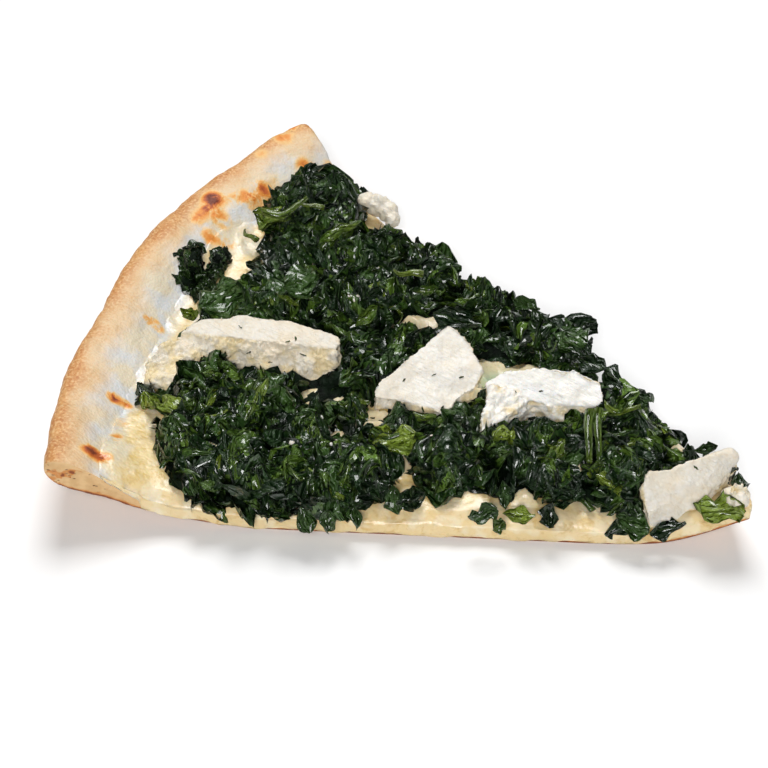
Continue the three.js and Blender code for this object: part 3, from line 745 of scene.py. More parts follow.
dollops = []
for name, faces in RICOTTA.items():
    dollop = copy_solid(name, name + "_curd")
    apply_modifier(dollop, "REMESH", mode="VOXEL", voxel_size=(0.36 if faces else 0.3) * MM)
    sleek = spooned(points_of(dollop), faces)
    weigh(dollop, "torn", 1 - sleek)
    weigh(dollop, "sleek", sleek)
    whiten(dollop, WHITENESS_AND_PAINTED_LIGHT.get(name, 0.6))
    apply_modifier(dollop, "SMOOTH", factor=0.5, iterations=5)
    roughen(dollop, 0.014, 3.6 * MM)
    roughen(dollop, 0.006, 1.3 * MM, "sleek")
    roughen(dollop, 0.002, 0.35 * MM, "sleek")
    roughen(dollop, 0.0055, 2.6 * MM, "torn", mid=0.5)
    roughen(dollop, 0.0022, 1.8 * MM, "torn", mid=0.45)
    roughen(dollop, 0.001, 0.6 * MM, "torn")
    smooth(dollop, 70)
    dress(dollop, name, curd)
    dollops.append(dollop)
    print(name, len(dollop.data.polygons), "faces")

# %% [markdown]
# ## Spinach
# Cooked chopped spinach is hundreds of limp scraps of leaf with a wet shine. One scrap is a small
# grid of a few dozen faces: blunt at both ends, rolled up at its sides, pleated, frilled at its
# margins, then crumpled, curled and twisted. Waves of seeded random phase do all of this, so some
# thirty kinds come from one recipe. Single flat leaves would look like confetti.

# %% Leaf kinds
def faces_of(scratch):
    """The faces of a scratch object, which is removed."""
    mesh = scratch.data
    faces = [p.vertices[:] for p in mesh.polygons]
    bpy.data.objects.remove(scratch)
    bpy.data.meshes.remove(mesh)
    return faces


def leaf_kind(seed, wide=0.33, rolled=(0.4, 1.9), pleats=0.05):
    """Points, faces and map of one limp scrap of leaf, 1 long, centred at the origin."""
    dice = random.Random(seed)
    bpy.ops.object.select_all(action="DESELECT")
    bpy.ops.mesh.primitive_grid_add(x_subdivisions=9, y_subdivisions=8, size=1)
    scrap = bpy.context.active_object
    points = points_of(scrap)
    u, v = points[:, 0] * 2, points[:, 1] * 2
    blunt = np.sqrt(1 - 0.88 * np.abs(u) ** 2.4)
    ragged = 1 + 0.2 * np.sin(2.4 * u + dice.uniform(0, 6))
    ragged += 0.14 * np.sin(6 * u + v + dice.uniform(0, 6))
    gathered = 1 - 0.35 * u * dice.choice((-1, 0, 1))
    half = wide * blunt * ragged * gathered
    roll = dice.uniform(*rolled) * (1 + 0.3 * np.sin(1.6 * u + dice.uniform(0, 6)))
    x = 0.5 * u * (1 - 0.15 * v**2)
    y = half * np.sin(v * roll) / roll
    z = half * (1 - np.cos(v * roll)) / roll * dice.choice((-1, -1, 1))
    fold = dice.uniform(0.7, 1.5) * pleats
    z += fold * np.sin(v * dice.uniform(5.5, 8) + 0.9 * np.sin(2 * u) + dice.uniform(0, 6)) * blunt
    frill = dice.uniform(0.03, 0.08)
    phase, wave = dice.uniform(0, 6), dice.uniform(4, 7)
    z += frill * np.sin(wave * u + phase + 1.4 * np.sign(v)) * v**2
    y += 0.6 * frill * np.cos(wave * u + phase) * np.abs(v)
    for _ in range(2):
        a, b, c = dice.uniform(-4, 4), dice.uniform(-4, 4), dice.uniform(0, 6)
        z += 0.03 * np.sin(a * u + b * v + c)
        x += 0.02 * np.sin(b * u + a * v + c)
    curl = dice.uniform(0.3, 2.6) * dice.choice((-1, 1, 1))
    arm = 1 / curl - z
    x, z = arm * np.sin(x * curl), 1 / curl - arm * np.cos(x * curl)
    twist = dice.uniform(-1.1, 1.1) * u
    y, z = y * np.cos(twist) - z * np.sin(twist), y * np.sin(twist) + z * np.cos(twist)
    uv = np.stack([u / 2 + 0.5, v / 2 + 0.5], 1)
    shape = np.stack([x, y, z], 1)
    return shape - shape.mean(0), faces_of(scrap), uv


LEAVES = [leaf_kind(seed) for seed in range(20)]
BROAD = [leaf_kind(seed, wide=0.42, rolled=(0.3, 0.9), pleats=0.06) for seed in range(30, 36)]
FOLDED = [leaf_kind(seed, wide=0.2, rolled=(0.9, 2.2), pleats=0.035) for seed in range(40, 48)]
print("leaf kinds:", len(LEAVES + BROAD + FOLDED), "of", len(LEAVES[0][1]), "faces")

# %% [markdown]
# Between the leaves lie bits of soft stalk. One is a thin cylinder, cut into rings by bisecting it
# so that it can bend, flattened and tapered. Some kinds are nearly straight.

# %% Stalk kinds
STALK_RINGS = 7


def stem_kind(seed, bent=1.0):
    """Points, faces and map of one soft, flattened piece of stalk, 1 long."""
    dice = random.Random(seed)
    bpy.ops.object.select_all(action="DESELECT")
    bpy.ops.mesh.primitive_cylinder_add(vertices=6, radius=0.08, depth=1, end_fill_type="TRIFAN")
    stalk = bpy.context.active_object
    stalk.rotation_euler = (0, math.pi / 2, 0)
    bpy.ops.object.transform_apply(rotation=True)
    bpy.ops.object.mode_set(mode="EDIT")
    for k in range(1, STALK_RINGS):
        bpy.ops.mesh.select_all(action="SELECT")
        bpy.ops.mesh.bisect(plane_co=(k / STALK_RINGS - 0.5, 0, 0), plane_no=(1, 0, 0))
    bpy.ops.object.mode_set(mode="OBJECT")
    points = points_of(stalk)
    u = points[:, 0] * 2
    bend = dice.uniform(0.05, 0.22) * bent
    taper = 1 - 0.35 * u * dice.choice((-1, 1))
    x = points[:, 0]
    y = points[:, 1] * taper + bend * u**2 + 0.04 * bent * np.sin(4 * u)
    z = points[:, 2] * taper * 0.6 - dice.uniform(0.0, 0.15) * bent * u**2
    uv = np.stack([u / 2 + 0.5, points[:, 1] * 6 + 0.5], 1)
    shape = np.stack([x, y, z], 1)
    return shape - shape.mean(0), faces_of(stalk), uv


STEMS = [stem_kind(seed) for seed in range(5)]
STRAIGHT = [stem_kind(seed, bent=0.2) for seed in range(10, 13)]
print("stalk kinds:", len(STEMS + STRAIGHT), "of", len(STEMS[0][1]), "faces")

# %% [markdown]
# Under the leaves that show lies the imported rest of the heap. Each heap's core is a copy of its
# solid, drawn in so that the leaves on it reach the solid's outline, lumpy, and sunk into the cheese
# where the heap is bare. A smooth copy of its top, without the lumps, later tells how deep in the
# heap a leaf lies.

# %% Heap cores
BARE = GAPS + [  # the gaps, and places along the heap's edge that stay clear of leaves
    (-200, 28, 7), (-197, 21, 5), (-192.5, 23, 4), (-195, 15.5, 4.5), (-190, 16, 3.5), (-205, 36, 6),
    (-201, 44, 4), (-207, 65, 4), (-209, 73, 5), (-207, 79, 5), (-205, 84, 5), (-201.5, 89.5, 5),
    (-196, 93, 5.5), (-187.5, 91, 5.5), (-178.5, 86, 5), (-171, 77, 7), (-165, 76, 6), (-167, 70.5, 4.5),
    (-157, 69.5, 4), (-148.5, 67.5, 3.5), (-120, 57.5, 3), (-112, 54, 3), (-178.5, -55, 4), (-173, -57, 3),
    (-175.5, -60.5, 4), (-169, -65.5, 4.5), (-165, -68.5, 4), (-68, 67, 2.5),
]
bed_skin = skin(dough, cheese)
ricotta_skin = skin(*dollops)


def bareness(points, wider=1.0):
    """How bare the heap is at each point, from 0 to 1."""
    return np.clip(2.2 * sum(bell(points, x, y, (r + 1) * wider) for x, y, r in BARE), 0, 1)


def height_over(tree_of_faces, points, missed=2.0):
    """Height of each point over the top of a skin, in millimetres, or a value where it misses."""
    heights = np.full(len(points), missed, float)
    for i, (x, y, z) in enumerate(points):
        hit = tree_of_faces.ray_cast(Vector((x, y, HIGH)), DOWN)[0]
        if hit is not None:
            heights[i] = (z - hit.z) / MM
    return heights


def sunk_core(node, name, gaps=True):
    """A refined copy of a heap's solid, drawn in so that leaves can lie on it, and sunk where bare."""
    piece = copy_solid(node, name)
    refine(piece, 1)
    spots = points_of(piece)
    out = np.array([v.normal for v in piece.data.vertices])
    up = np.clip(out[:, 2], 0, 1)
    over = height_over(bed_skin, spots)
    scanty = np.clip((3.4 - over) / 1.4, 0, 1) * (up > 0.3)
    spots[:, :2] -= 2.2 * out[:, :2] * MM
    spots[:, 2] -= (1.1 * up + 3 * up * scanty) * MM
    if gaps:
        spots[:, 2] -= np.maximum(over + 1.5, 0) * np.clip(1.6 * bareness(spots, 1.45) - 0.5, 0, 1) * MM
    move_to(piece, spots)
    even = skin(piece)
    roughen(piece, 0.012, 5.5 * MM, mid=0.68)
    roughen(piece, 0.006, 1.6 * MM, mid=0.7)
    return piece, even


heap, even_heap = sunk_core("spinach_heap", "heap_core")
clump, even_clump = sunk_core("spinach_clump", "clump_core", gaps=False)
core_skin = skin(heap, clump)
ground = skin(heap, clump, dough, cheese)
print("heap core:", len(heap.data.polygons), "faces; bare places:", len(BARE))

# %% [markdown]
# Leaves have to lie on the heap and keep clear of what is around them. Each place is drawn on the
# core's own skin, larger faces getting more. A leaf sags on to what lies below it, is lifted out of
# the cheese and pressed under a dollop that lies over it. Leaves that would hang too far over the
# edge or cover a gap are dropped, and none goes through the surface that the slice lies on.

# %% Places for leaves
FULL_TURN = 6.283
CLEARANCE = 0.25 * MM  # from a leaf to the cheese below it
DEEPEST_SAG = 5 * MM


def drawn_places(obj, count, dice, lowest=-0.2):
    """Places on a piece's skin, with their outward directions, evenly by area."""
    obj.data.calc_loop_triangles()
    tris = [t for t in obj.data.loop_triangles if t.normal.z > lowest and t.area > 0]
    areas = np.cumsum([t.area * (0.35 + max(0, t.normal.z)) for t in tris])
    found = []
    for _ in range(count):
        t = tris[min(len(tris) - 1, int(np.searchsorted(areas, dice.random() * areas[-1])))]
        a, b, c = (obj.data.vertices[i].co for i in t.vertices)
        r, s = dice.random() ** 0.5, dice.random()
        found.append((a * (1 - r) + b * (r * (1 - s)) + c * (r * s), Vector(t.normal)))
    return found


def settle(points):
    """Lifts points out of the cheese and dough, and presses them under the ricotta."""
    for i, (x, y, z) in enumerate(points):
        hit = bed_skin.ray_cast(Vector((x, y, HIGH)), DOWN)[0]
        if hit is not None and hit.z + CLEARANCE > z:
            points[i, 2] = hit.z + CLEARANCE
        base = ricotta_skin.ray_cast(Vector((x, y, 0)), UP)[0]
        if base is not None:
            points[i, 2] = min(points[i, 2], base.z - 0.1 * MM)
    return points


def buried(points):
    """How deep each point lies in the heap, from 0 well above its even top to 1 far below it."""
    over = np.maximum(height_over(even_heap, points, -9), height_over(even_clump, points, -9))
    over[over < -8.5] = 1.5
    return np.clip(0.75 - (over + 0.5) / 4, 0, 1)


def stays_on(points, gaps=True):
    """Whether a leaf lies on the heap, without hanging far over its edge or over a bare place."""
    off = np.mean(height_over(core_skin, points[::5], -99) < -90)
    return off < 0.5 and not (gaps and bareness(points[::3]).max() > 0.99)


def drape(points, spot, share):
    """Lets a leaf sag on to what lies below it, by a share of the way, but not too far."""
    for i, (x, y, _) in enumerate(points):
        hit = ground.ray_cast(Vector((x, y, HIGH)), DOWN)[0]
        drop = hit.z - spot.z if hit is not None else -1.5 * MM
        points[i, 2] += share * max(drop, -DEEPEST_SAG)
    return points


# %% [markdown]
# Thousands of copies as objects of their own would be slow and hard to handle. Their points are
# gathered in arrays instead, and one mesh is made of each colour's copies. Every copy keeps its map,
# a tone of its own and how deep its points are buried, for tone by leaf and painted shade by depth.

# %% Scatter leaves
def join_copies(name, copies, tones):
    """One piece from many copies, each given as points, faces and leaf map, with a tone for each."""
    points, faces, maps = [], [], []
    start = 0
    for body, kind_faces, uv in copies:
        points.append(body)
        faces += [[i + start for i in face] for face in kind_faces]
        maps.append(uv)
        start += len(body)
    points = np.concatenate(points)
    points[:, 2] = np.maximum(points[:, 2], 0.3 * MM)  # clear of the surface below
    mesh = bpy.data.meshes.new(name)
    mesh.from_pydata(points.tolist(), [], faces)
    layer = mesh.uv_layers.new(name="leaf")
    corners = np.empty(len(mesh.loops), np.int32)
    mesh.loops.foreach_get("vertex_index", corners)
    layer.data.foreach_set("uv", np.concatenate(maps)[corners].astype(np.float32).ravel())
    piece = bpy.data.objects.new(name, mesh)
    bpy.context.scene.collection.objects.link(piece)
    store(piece, "tone", np.concatenate([np.full(len(c[0]), t) for c, t in zip(copies, tones)]))
    store(piece, "buried", buried(points))
    smooth(piece, 180)
    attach(piece, "root")
    print(name, len(copies), "copies,", len(mesh.polygons), "faces")
    return piece


def scatter(name, kinds, places, sizes, tilt, dice, lift, extra=(), gaps=True):
    """Copies of the kinds at the places, and some more copies laid one by one, as one piece."""
    copies = []
    for spot, out in places:
        shape, kind_faces, uv = kinds[dice.randrange(len(kinds))]
        size = dice.uniform(*sizes) * MM
        stretch = np.array([1, dice.uniform(0.75, 1.25), dice.uniform(0.7, 1.2)]) * size
        body = shape * stretch
        body[:, 2] += dice.uniform(-1.2, 0.6) * body[:, 0] ** 2 / size * 0.5
        lean = Vector((dice.gauss(0, tilt), dice.gauss(0, tilt), 0))
        steep = 1 - min(1, max(0, out.z * 2 - 0.5))
        facing = (out * (0.3 + 0.6 * steep) + Vector((0, 0, 0.8)) + lean).normalized()
        spin = Matrix.Rotation(dice.uniform(0, FULL_TURN), 3, "Z")
        turn = facing.to_track_quat("Z", "Y").to_matrix() @ spin
        body = body @ np.array(turn).T + np.array(spot + out * dice.uniform(lift - 1.4, lift) * MM)
        if stays_on(body, gaps):
            drape(body, spot, 0.85 * min(1, max(0, out.z * 2 - 0.5)))
            copies.append((settle(body), kind_faces, uv))
    copies += extra
    return join_copies(name, copies, [dice.random() for _ in copies])


def laid(kinds, number, start, end, wide):
    """One copy laid from one point to another, with a breadth."""
    shape, kind_faces, uv = kinds[number % len(kinds)]
    a, b = place(*start), place(*end)
    along = (b - a).normalized()
    aside = along.cross(Vector((0.25, -0.45, 0.85))).normalized()
    turn = Matrix((along, -aside, along.cross(-aside))).transposed()
    body = shape * (b - a).length * np.array([1, wide, wide])
    return settle(body @ np.array(turn).T + np.array((a + b) / 2)), kind_faces, uv


def clear_places(places):
    """Only the places that are not bare, not sunk in the cheese and that no dollop covers."""
    points = np.array([spot for spot, _ in places])
    bare = bareness(points)
    over = height_over(bed_skin, points)
    open_above = height_over(ricotta_skin, points, math.inf) == math.inf
    keep = (bare < 0.7) & (over > -1.2) & open_above
    return [place_and_way for place_and_way, kept in zip(places, keep) if kept]


print("scatter helpers ready")

# %% [markdown]
# Some pieces are large or bright enough to be known by their place, such as the curled stalks near
# the rim, the straight stalks beside the long dollop and the leaves that hang over the cuts. They
# are laid one by one, from point to point. Each row gives the kinds, one of them, the two points in
# millimetres from the apex, and how broad the copy is for its length.

# %% Leaves and stalks laid one by one
BRIGHT_LEAVES = [
    (LEAVES, 1, (-201, 44, 22), (-187, 42, 23), 1.2),
    (LEAVES, 3, (-197, -6, 17.5), (-188, -9.5, 17.5), 1.1),
    (FOLDED, 5, (-178, -44, 18), (-166, -50, 19.5), 1.5),
    (LEAVES, 2, (-112, -32, 17), (-100, -26, 20), 0.9),
    (FOLDED, 7, (-114, -14.5, 13.5), (-102, -9.5, 13.5), 1.0),
    (LEAVES, 4, (-83, -12.5, 17), (-76, -10, 19), 1.2),
    (LEAVES, 6, (-50, -11.5, 16), (-40, -15, 16), 0.8),
    (FOLDED, 8, (-131, 31, 22.5), (-124, 33, 24), 1.4),
    (LEAVES, 0, (-22, -12, 14), (-8.5, -5, 18.5), 0.9),
    (LEAVES, 1, (-69.5, -33.5, 10.5), (-60.5, -30, 10.5), 0.8),
    (BROAD, 3, (-70, -38.5, 9), (-66.5, -36, 10), 1.3),
    (FOLDED, 2, (-163, -42, 19.5), (-158, -32, 20), 1.1),
    (FOLDED, 9, (-170, 9, 22), (-160, 7, 23), 0.9),
    (LEAVES, 10, (-64.5, -12, 16), (-63, -5, 18), 1.0),
    (FOLDED, 11, (-60, 8, 19), (-50, 14, 20), 1.3),
    (LEAVES, 12, (-184, -44, 15.5), (-177, -48, 16), 1.2),
]
BRIGHT_STALKS = [
    (STEMS, 0, (-193, 39, 26), (-183, 51.5, 28), 1.0),
    (STEMS, 1, (-186, 49, 28), (-177, 51.5, 27), 1.0),
    (FOLDED, 2, (-172.5, 39, 24.5), (-161, 51, 26.5), 0.8),
    (STEMS, 3, (-203, 39.5, 16.5), (-195, 36, 17.5), 1.2),
    (STEMS, 4, (-141.5, 34.5, 24), (-131.5, 36.5, 25.5), 1.2),
    (FOLDED, 0, (-140, 7, 22), (-136, 16, 24.5), 1.2),
    (STRAIGHT, 0, (-61.5, 9, 19), (-53.8, -9, 16.5), 0.8),
    (STRAIGHT, 1, (-59.5, 10.5, 19), (-51.5, -7, 17), 0.8),
    (STEMS, 0, (-57.5, 10.5, 20), (-48, 15, 20.5), 1.1),
    (STEMS, 4, (-54, 2.5, 18), (-46, 7, 18), 1.2),
    (STEMS, 2, (-52, -1.5, 17.5), (-44.5, 2.5, 17.5), 1.2),
    (FOLDED, 4, (-146, -44, 20.5), (-153.5, -24, 20), 0.55),
    (STEMS, 1, (-112, -30, 18), (-103, -25, 19), 1.1),
]
DARK_HUNG = [
    (BROAD, 2, (-84, 38, 21), (-73, 31.5, 21.5), 1.0),
    (LEAVES, 4, (-81, 37, 18), (-72, 31, 18), 1.0),
    (LEAVES, 10, (-89, 40, 20), (-80, 36, 20), 1.0),
    (LEAVES, 17, (-78, 35, 20), (-70, 30, 19), 1.0),
    (LEAVES, 1, (-101, -40, 13), (-96, -46, 8), 1.0),
    (LEAVES, 7, (-97, -38, 13), (-91, -43, 8), 1.0),
    (FOLDED, 3, (-99, -43, 11), (-90, -40, 11), 1.1),
    (LEAVES, 8, (-120, -59, 12), (-114, -63.5, 8), 0.9),
    (LEAVES, 11, (-113, -57, 12), (-109, -61, 8), 1.0),
    (LEAVES, 13, (-107, -52, 12), (-103, -56, 8), 1.0),
    (LEAVES, 14, (-74, -24, 13), (-69, -31, 9), 0.9),
    (LEAVES, 15, (-59, -25, 12), (-56, -31, 7.5), 1.0),
    (LEAVES, 16, (-190, -40, 14), (-181, -43, 16), 0.9),
    (FOLDED, 6, (-187, -47, 13), (-180, -43, 15), 1.1),
    (LEAVES, 18, (-74, 28, 20), (-63, 25.5, 20.5), 0.9),
    (LEAVES, 19, (-65, 27, 19), (-55, 22, 19.5), 0.9),
    (LEAVES, 2, (-56, 22.5, 19), (-46, 18.5, 19.5), 0.9),
    (LEAVES, 5, (-103, 46, 19.5), (-93, 42, 20.5), 0.9),
    (LEAVES, 9, (-96, 43, 20), (-88, 38.5, 20), 0.9),
    (LEAVES, 0, (-76, -41.5, 10.5), (-70.5, -34, 13.5), 0.9),
    (LEAVES, 2, (-41, -21, 12), (-31, -18, 8), 1.0),
    (LEAVES, 5, (-31, -18, 8), (-22, -13, 10), 1.0),
    (BROAD, 4, (-189, -7, 20), (-181, 6, 24), 1.0),
    (LEAVES, 5, (-121, 25, 22.5), (-105, 25, 21), 0.9),
    (BROAD, 0, (-169, 12, 24), (-160, 19, 26), 1.2),
    (LEAVES, 3, (-29, 3.5, 22), (-21, 6.5, 24), 0.9),
    (LEAVES, 6, (-20, 7, 23), (-14.5, 2.5, 21), 0.9),
    (LEAVES, 9, (-14.5, 3, 20.5), (-10.5, -2.5, 20), 1.0),
    (LEAVES, 10, (-38, -14, 14), (-33, -16, 9), 1.1),
]

print("laid by hand:", len(BRIGHT_LEAVES) + len(BRIGHT_STALKS) + len(DARK_HUNG))

# %% [markdown]
# The heap is mostly deep and dark green, with some mid and a few bright leaves. The places are
# shared out to the colours, and the darker leaves are larger and lie lower, so the brighter ones
# end up on top of them. The clump by the crust has small leaves of its own.

# %% Spinach leaves and stalks
LEAF_PLACES, CLUMP_PLACES, STALK_PLACES = 4000, 170, 70
SHARES = (0.26, 0.66, 0.95)  # up to these shares of the places: deep, dark and mid, then light

dice = random.Random(4)
few = 1
places = clear_places(drawn_places(heap, LEAF_PLACES // few, dice))
ends = [int(len(places) * share) for share in SHARES]
deep_places, dark_places = places[: ends[0]], places[ends[0] : ends[1]]
mid_places, light_places = places[ends[1] : ends[2]], places[ends[2] :]
hung = [laid(*row) for row in DARK_HUNG]
bright = [laid(*row) for row in BRIGHT_LEAVES]
stalks = [laid(*row) for row in BRIGHT_STALKS]
flat_kinds, rolled_kinds = LEAVES + BROAD, LEAVES + FOLDED
deep_leaves = scatter("spinach_deep_leaves", flat_kinds, deep_places, (11, 18), 0.2, dice, 0.8)
half = len(dark_places) // 2
dark_leaves = scatter("spinach_dark_leaves", flat_kinds, dark_places[:half], (12, 20), 0.22, dice, 1.6)
wet_leaves = scatter("spinach_wet_leaves", rolled_kinds, dark_places[half:], (9, 17), 0.3, dice, 2.4, hung)
half = len(mid_places) // 2
mid_leaves = scatter("spinach_mid_leaves", flat_kinds, mid_places[:half], (10, 17), 0.25, dice, 2.2)
green_leaves = scatter("spinach_green_leaves", rolled_kinds, mid_places[half:], (7, 14), 0.35, dice, 2.6)
light_leaves = scatter("spinach_light_leaves", FOLDED, light_places, (6, 11), 0.4, dice, 2.4, bright)
clump_places = drawn_places(clump, CLUMP_PLACES, dice, -0.1)
clump_leaves = scatter("spinach_clump_leaves", LEAVES, clump_places, (4, 7), 0.3, dice, 1.0, gaps=False)
stem_places = clear_places(drawn_places(heap, STALK_PLACES // few, dice, 0.3))
stems = scatter("spinach_stalks", STEMS, stem_places, (6, 15), 0.3, dice, 2.4, stalks)

# %% [markdown]
# A few tiny scraps of green stick to the ricotta. Each is a folded leaf, much smaller and flatter
# than the others, turned to lie on the curd where a ray from above meets it.

# %% Greens on the ricotta
FLECKS = [  # x and y of each scrap
    (-156, -6.7), (-154.5, -4.3), (-165.7, -14.1), (-159, -12.5), (-150.7, -6.7), (-117.8, -1.4),
    (-110.6, 4.3), (-84.7, 7.4), (-78, 11.3), (-172, -9), (-103, 8), (-25, -2),
]
scraps = []
for x, y in FLECKS:
    shape, kind_faces, uv = FOLDED[dice.randrange(len(FOLDED))]
    spot = place(x, y, HIGH / MM)
    hit, normal = ricotta_skin.ray_cast(spot, DOWN)[:2]
    if hit is not None:
        spin = Matrix.Rotation(dice.uniform(0, FULL_TURN), 3, "Z")
        turn = normal.to_track_quat("Z", "Y").to_matrix() @ spin
        body = shape * np.array([1, 1, 0.4]) * dice.uniform(1.4, 2.6) * MM
        scraps.append((body @ np.array(turn).T + np.array(hit + normal * 0.2 * MM), kind_faces, uv))
flecked = join_copies("ricotta_greens", scraps, [dice.random() for _ in scraps])

# %% [markdown]
# All spinach shares one recipe with different greens: a colour that varies from leaf to leaf, a
# lighter rib along the middle, puffed cells between fine sunken veins, and a wet coat. The cells
# read the leaf's own map, so they bend with it. Creases and buried points are dark and lose their
# shine, as hardly any light reaches them.

# %% Spinach recipe
def spinach_material(name, deep, light, rib_colour, rib):
    """A wet leaf that runs from a deep to a light green, with ribs of a third colour."""
    material, tree, shader = new_material(name, Coat_Roughness=0.09, Coat_IOR=1.6)
    where = here(tree)
    leaf = put(tree, "ShaderNodeUVMap", uv_map="leaf").outputs[0]
    tone = attribute(tree, "tone")
    own_tone = calc(tree, "MULTIPLY_ADD", tone, 0.9, -0.6)
    patch = calc(tree, "MULTIPLY_ADD", noise(tree, where, 0.011, 3), 1.2, own_tone)
    colour = mix(tree, fade(tree, patch, 0.15, 0.85), deep, light)
    split = put(tree, "ShaderNodeSeparateXYZ", {0: leaf}).outputs
    from_rib = calc(tree, "ABSOLUTE", calc(tree, "SUBTRACT", split[1], 0.5))
    colour = mix(tree, fade(tree, from_rib, 0.04, 0.015, 0, rib), colour, rib_colour)
    own = put(tree, "ShaderNodeCombineXYZ", {2: calc(tree, "MULTIPLY", tone, 40)}).outputs[0]
    stretched = put(tree, "ShaderNodeMapping", {"Vector": leaf, "Scale": (4.5, 4, 1)}).outputs[0]
    moved = put(tree, "ShaderNodeVectorMath", {0: stretched, 1: own}, operation="ADD").outputs[0]
    warp = put(tree, "ShaderNodeTexNoise", {"Vector": moved, "Scale": 1.2, "Detail": 2.0}).outputs["Color"]
    bent = put(tree, "ShaderNodeVectorMath", {0: moved, 1: warp}, operation="ADD").outputs[0]
    inputs = {"Vector": bent, "Scale": 1.0}
    cells = put(tree, "ShaderNodeTexVoronoi", inputs, feature="DISTANCE_TO_EDGE").outputs[0]
    puffed = fade(tree, cells, 0.0, 0.3)
    colour = mix(tree, fade(tree, cells, 0.06, 0.0, 0, rib * 0.5), colour, rib_colour)
    # Painted shade: points buried deep in the heap are darkened towards near black.
    hidden = calc(tree, "MULTIPLY_ADD", noise(tree, where, 0.003, 2), 0.5, attribute(tree, "buried"))
    colour = mix(tree, fade(tree, hidden, 0.4, 0.95, 0, 0.95), colour, shade(2, 7, 2))
    fine = noise(tree, where, 0.0011, 2)
    tree.links.new(fade(tree, fine, 0.3, 0.7, 0.26, 0.46), shader.inputs["Roughness"])
    along = put(tree, "ShaderNodeMapping", {"Vector": bent, "Scale": (0.35, 1.7, 1)}).outputs[0]
    pleats = put(tree, "ShaderNodeTexNoise", {"Vector": along, "Scale": 1.3, "Detail": 2.0}).outputs[0]
    creased = calc(tree, "ABSOLUTE", calc(tree, "SUBTRACT", pleats, 0.5))
    ridge = calc(tree, "MULTIPLY", creased, -5.0)
    flat_part, seen_part = fade(tree, creased, 0.04, 0.15, 1, 0), fade(tree, hidden, 0.4, 0.9, 1, 0)
    shine = calc(tree, "MULTIPLY", flat_part, seen_part)
    # Painted shade: the creases of the pleats are darkened towards black-green.
    colour = mix(tree, fade(tree, creased, 0.05, 0.16, 0, 0.8), colour, shade(4, 12, 5))
    tree.links.new(fade(tree, shine, 0, 1, 0.03, 0.7), shader.inputs["Specular IOR Level"])
    tree.links.new(fade(tree, shine, 0, 1, 0.02, 0.6), shader.inputs["Coat Weight"])
    tree.links.new(colour, shader.inputs["Base Color"])
    height = calc(tree, "MULTIPLY_ADD", puffed, 0.6, calc(tree, "MULTIPLY_ADD", fine, 0.4, ridge))
    bump(tree, shader, height, 0.001, 1.0)
    return material


# %% [markdown]
# The recipe is used five times, from nearly black to bright green. The core below the leaves gets a
# plain near-black material as painted shade: only slits of it show, and they read as deep gaps.

# %% Spinach materials
deep = spinach_material("deep spinach", shade(12, 30, 12), shade(34, 64, 26), shade(60, 90, 34), 0.3)
dark = spinach_material("dark spinach", shade(20, 46, 18), shade(58, 92, 30), shade(84, 112, 50), 0.4)
mid = spinach_material("green spinach", shade(36, 68, 18), shade(96, 130, 36), shade(120, 146, 58), 0.5)
light = spinach_material("bright spinach", shade(70, 104, 18), shade(136, 160, 42), shade(166, 186, 84), 0.6)
fresh = spinach_material("spinach stalk", shade(66, 104, 20), shade(136, 162, 48), shade(160, 182, 80), 0.2)
for material, pieces in (
    (deep, [deep_leaves]),
    (dark, [dark_leaves, wet_leaves, clump_leaves]),
    (mid, [mid_leaves, green_leaves, flecked]),
    (light, [light_leaves]),
    (fresh, [stems]),
):
    for piece in pieces:
        piece.data.materials.append(material)

# Painted shade: the core is near black, so that the slits between the leaves look deep.
core, tree, shader = new_material("spinach core in painted shade", Roughness=0.6, Specular_IOR_Level=0.1)
where = here(tree)
colour = mix(tree, fade(tree, noise(tree, where, 0.005, 3), 0.35, 0.7), shade(3, 9, 4), shade(12, 28, 12))
tree.links.new(colour, shader.inputs["Base Color"])
bump(tree, shader, noise(tree, where, 0.0025, 4, distortion=1.5), 0.0016, 1.0)
for piece, node in ((heap, "spinach_heap"), (clump, "spinach_clump")):
    smooth(piece, 80)
    dress(piece, node, core)
    print(piece.name, len(piece.data.polygons), "faces")

# %% [markdown]
# ## Crumbs
# Tiny white crumbs of cheese lie about on the spinach, more of them in a few clusters. One crumb is
# a rough little ball. The copies are scattered like the leaves, each where a ray from above first
# meets a leaf.

# %% Crumbs
def crumb_kind(seed):
    """Points, faces and an empty map of one crumb, 1 long."""
    dice = random.Random(seed)
    bpy.ops.object.select_all(action="DESELECT")
    bpy.ops.mesh.primitive_ico_sphere_add(subdivisions=2, radius=0.5)
    ball = bpy.context.active_object
    points = points_of(ball) * np.array([1, 0.8, 0.65])
    points *= 1 + 0.3 * np.sin(points * 9 + dice.uniform(0, 6)).sum(1, keepdims=True) / 2
    return points, faces_of(ball), np.zeros((len(points), 2))


CRUMBS = [crumb_kind(seed) for seed in range(4)]
CLUSTERS = [  # x, y, spread and number of the crumbs that lie close together
    (-124, -33, 3.6, 40), (-128, -28, 3, 16), (-143.5, -71, 2.4, 14), (-116, -36, 4, 14),
    (-146, 26, 5, 12),
]
crumb_places = [spot for spot, _ in clear_places(drawn_places(heap, 70, dice, 0.5))]
for x, y, spread, number in CLUSTERS:
    crumb_places += [place(dice.gauss(x, spread), dice.gauss(y, spread)) for _ in range(number)]
leafy_skin = skin(dark_leaves, wet_leaves, mid_leaves, green_leaves, light_leaves, deep_leaves)
landed = []
for spot in crumb_places:
    hit, normal = leafy_skin.ray_cast(Vector((spot.x, spot.y, HIGH)), DOWN)[:2]
    if hit is not None:
        landed.append((hit, normal if normal.z > 0 else -normal))
crumbs = scatter("cheese_crumbs", CRUMBS, landed, (0.5, 1.9), 0.3, dice, 0.5)
whiten(crumbs, 0.7)
crumbs.data.materials.append(curd)

# %% [markdown]
# ## Lumps
# Two larger lumps of soft cheese lie at the edges, one on the back cut and one on the tip. Each is
# made of a few overlapping balls, because a remesh melts them into one lumpy skin.

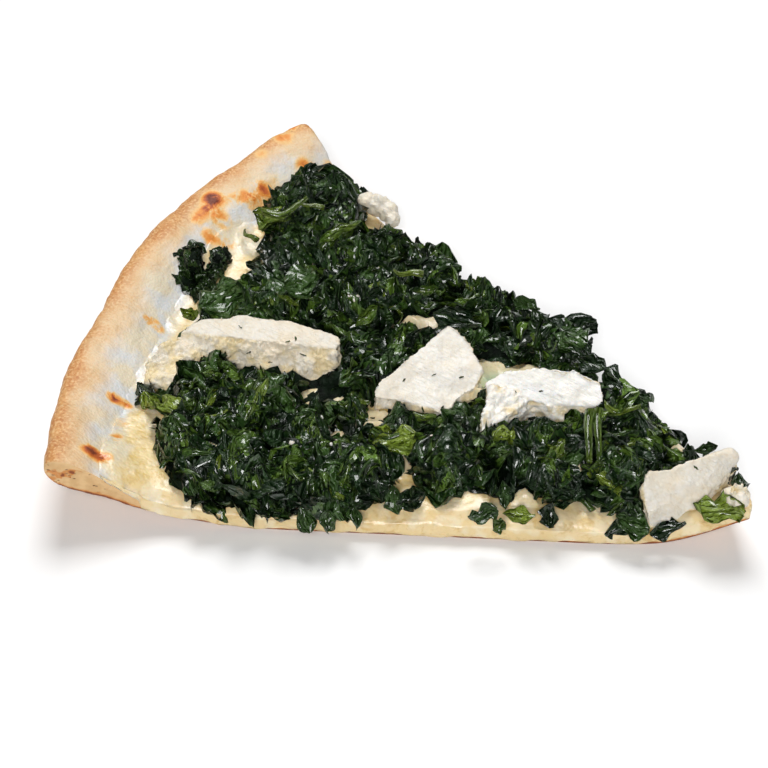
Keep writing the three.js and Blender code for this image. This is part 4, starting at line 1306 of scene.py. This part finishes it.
# %% Lumps
LUMPS = {  # x, y, height and radius of the balls of each lump, in millimetres
    "back_edge_lump": [
        (-175, 77, 14.5, 3.4), (-171, 78, 13.5, 4), (-167, 77.5, 12.5, 3.6), (-164, 75.5, 11.5, 2.8),
    ],
    "tip_lump": [(-13.5, -3.5, 17.5, 2.6), (-11, -4.5, 18, 2.2), (-12, -1.5, 18.5, 2)],
}
for name, balls in LUMPS.items():
    bpy.ops.object.select_all(action="DESELECT")
    made = []
    for x, y, z, radius in balls:
        size_and_place = {"radius": radius * MM, "location": place(x, y, z)}
        bpy.ops.mesh.primitive_uv_sphere_add(segments=24, ring_count=12, **size_and_place)
        made.append(bpy.context.active_object)
    for ball in made:
        ball.select_set(True)
    bpy.context.view_layer.objects.active = made[0]
    bpy.ops.object.join()
    lump = bpy.context.active_object
    lump.name = name
    bpy.ops.object.transform_apply(location=True)
    apply_modifier(lump, "REMESH", mode="VOXEL", voxel_size=0.35 * MM)
    weigh(lump, "torn", np.full(len(lump.data.vertices), 0.4))
    whiten(lump, 0.5)
    roughen(lump, 0.004, 2.2 * MM)
    roughen(lump, 0.0015, 0.6 * MM)
    smooth(lump, 70)
    lump.data.materials.append(curd)
    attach(lump, "root")
    print(name, len(lump.data.polygons), "faces")

# %% [markdown]
# ## Floor and light
# The slice lies on a plain white surface in a bright studio. A large soft lamp above and behind
# gives the leaves their shine, and a smaller one in front lights the near sides. A faint white
# surrounding fills the shadows: a stronger one would veil the dark of the spinach.

# %% Floor and lights
bpy.ops.object.select_all(action="DESELECT")
bpy.ops.mesh.primitive_plane_add(size=12, location=(0, 0, -0.0004))
floor = bpy.context.active_object
floor.name = "floor"
paper, tree, shader = new_material("pale floor", Roughness=0.8)
shader.inputs["Base Color"].default_value = (0.9, 0.9, 0.9, 1)
floor.data.materials.append(paper)

world = bpy.data.worlds.new("studio")
world.use_nodes = True
world.node_tree.nodes["Background"].inputs[0].default_value = (1.0, 1.0, 1.0, 1)
world.node_tree.nodes["Background"].inputs[1].default_value = 0.1
bpy.context.scene.world = world


def lamp(name, where, size, power):
    """A square lamp that looks at the slice."""
    data = bpy.data.lights.new(name, "AREA")
    data.shape = "SQUARE"
    data.size = size
    data.energy = power
    obj = bpy.data.objects.new(name, data)
    obj.location = where
    obj.rotation_euler = (-Vector(where)).to_track_quat("-Z", "Y").to_euler()
    bpy.context.scene.collection.objects.link(obj)


lamp("key", (-0.28, 0.5, 0.97), 0.55, 10.2)
lamp("fill", (0.35, -0.8, 0.75), 0.4, 9.2)
bpy.context.scene.view_settings.view_transform = "Standard"

# %% [markdown]
# ## Finish

# %% Finish
for obj in list(bpy.data.objects):
    obj.select_set(False)
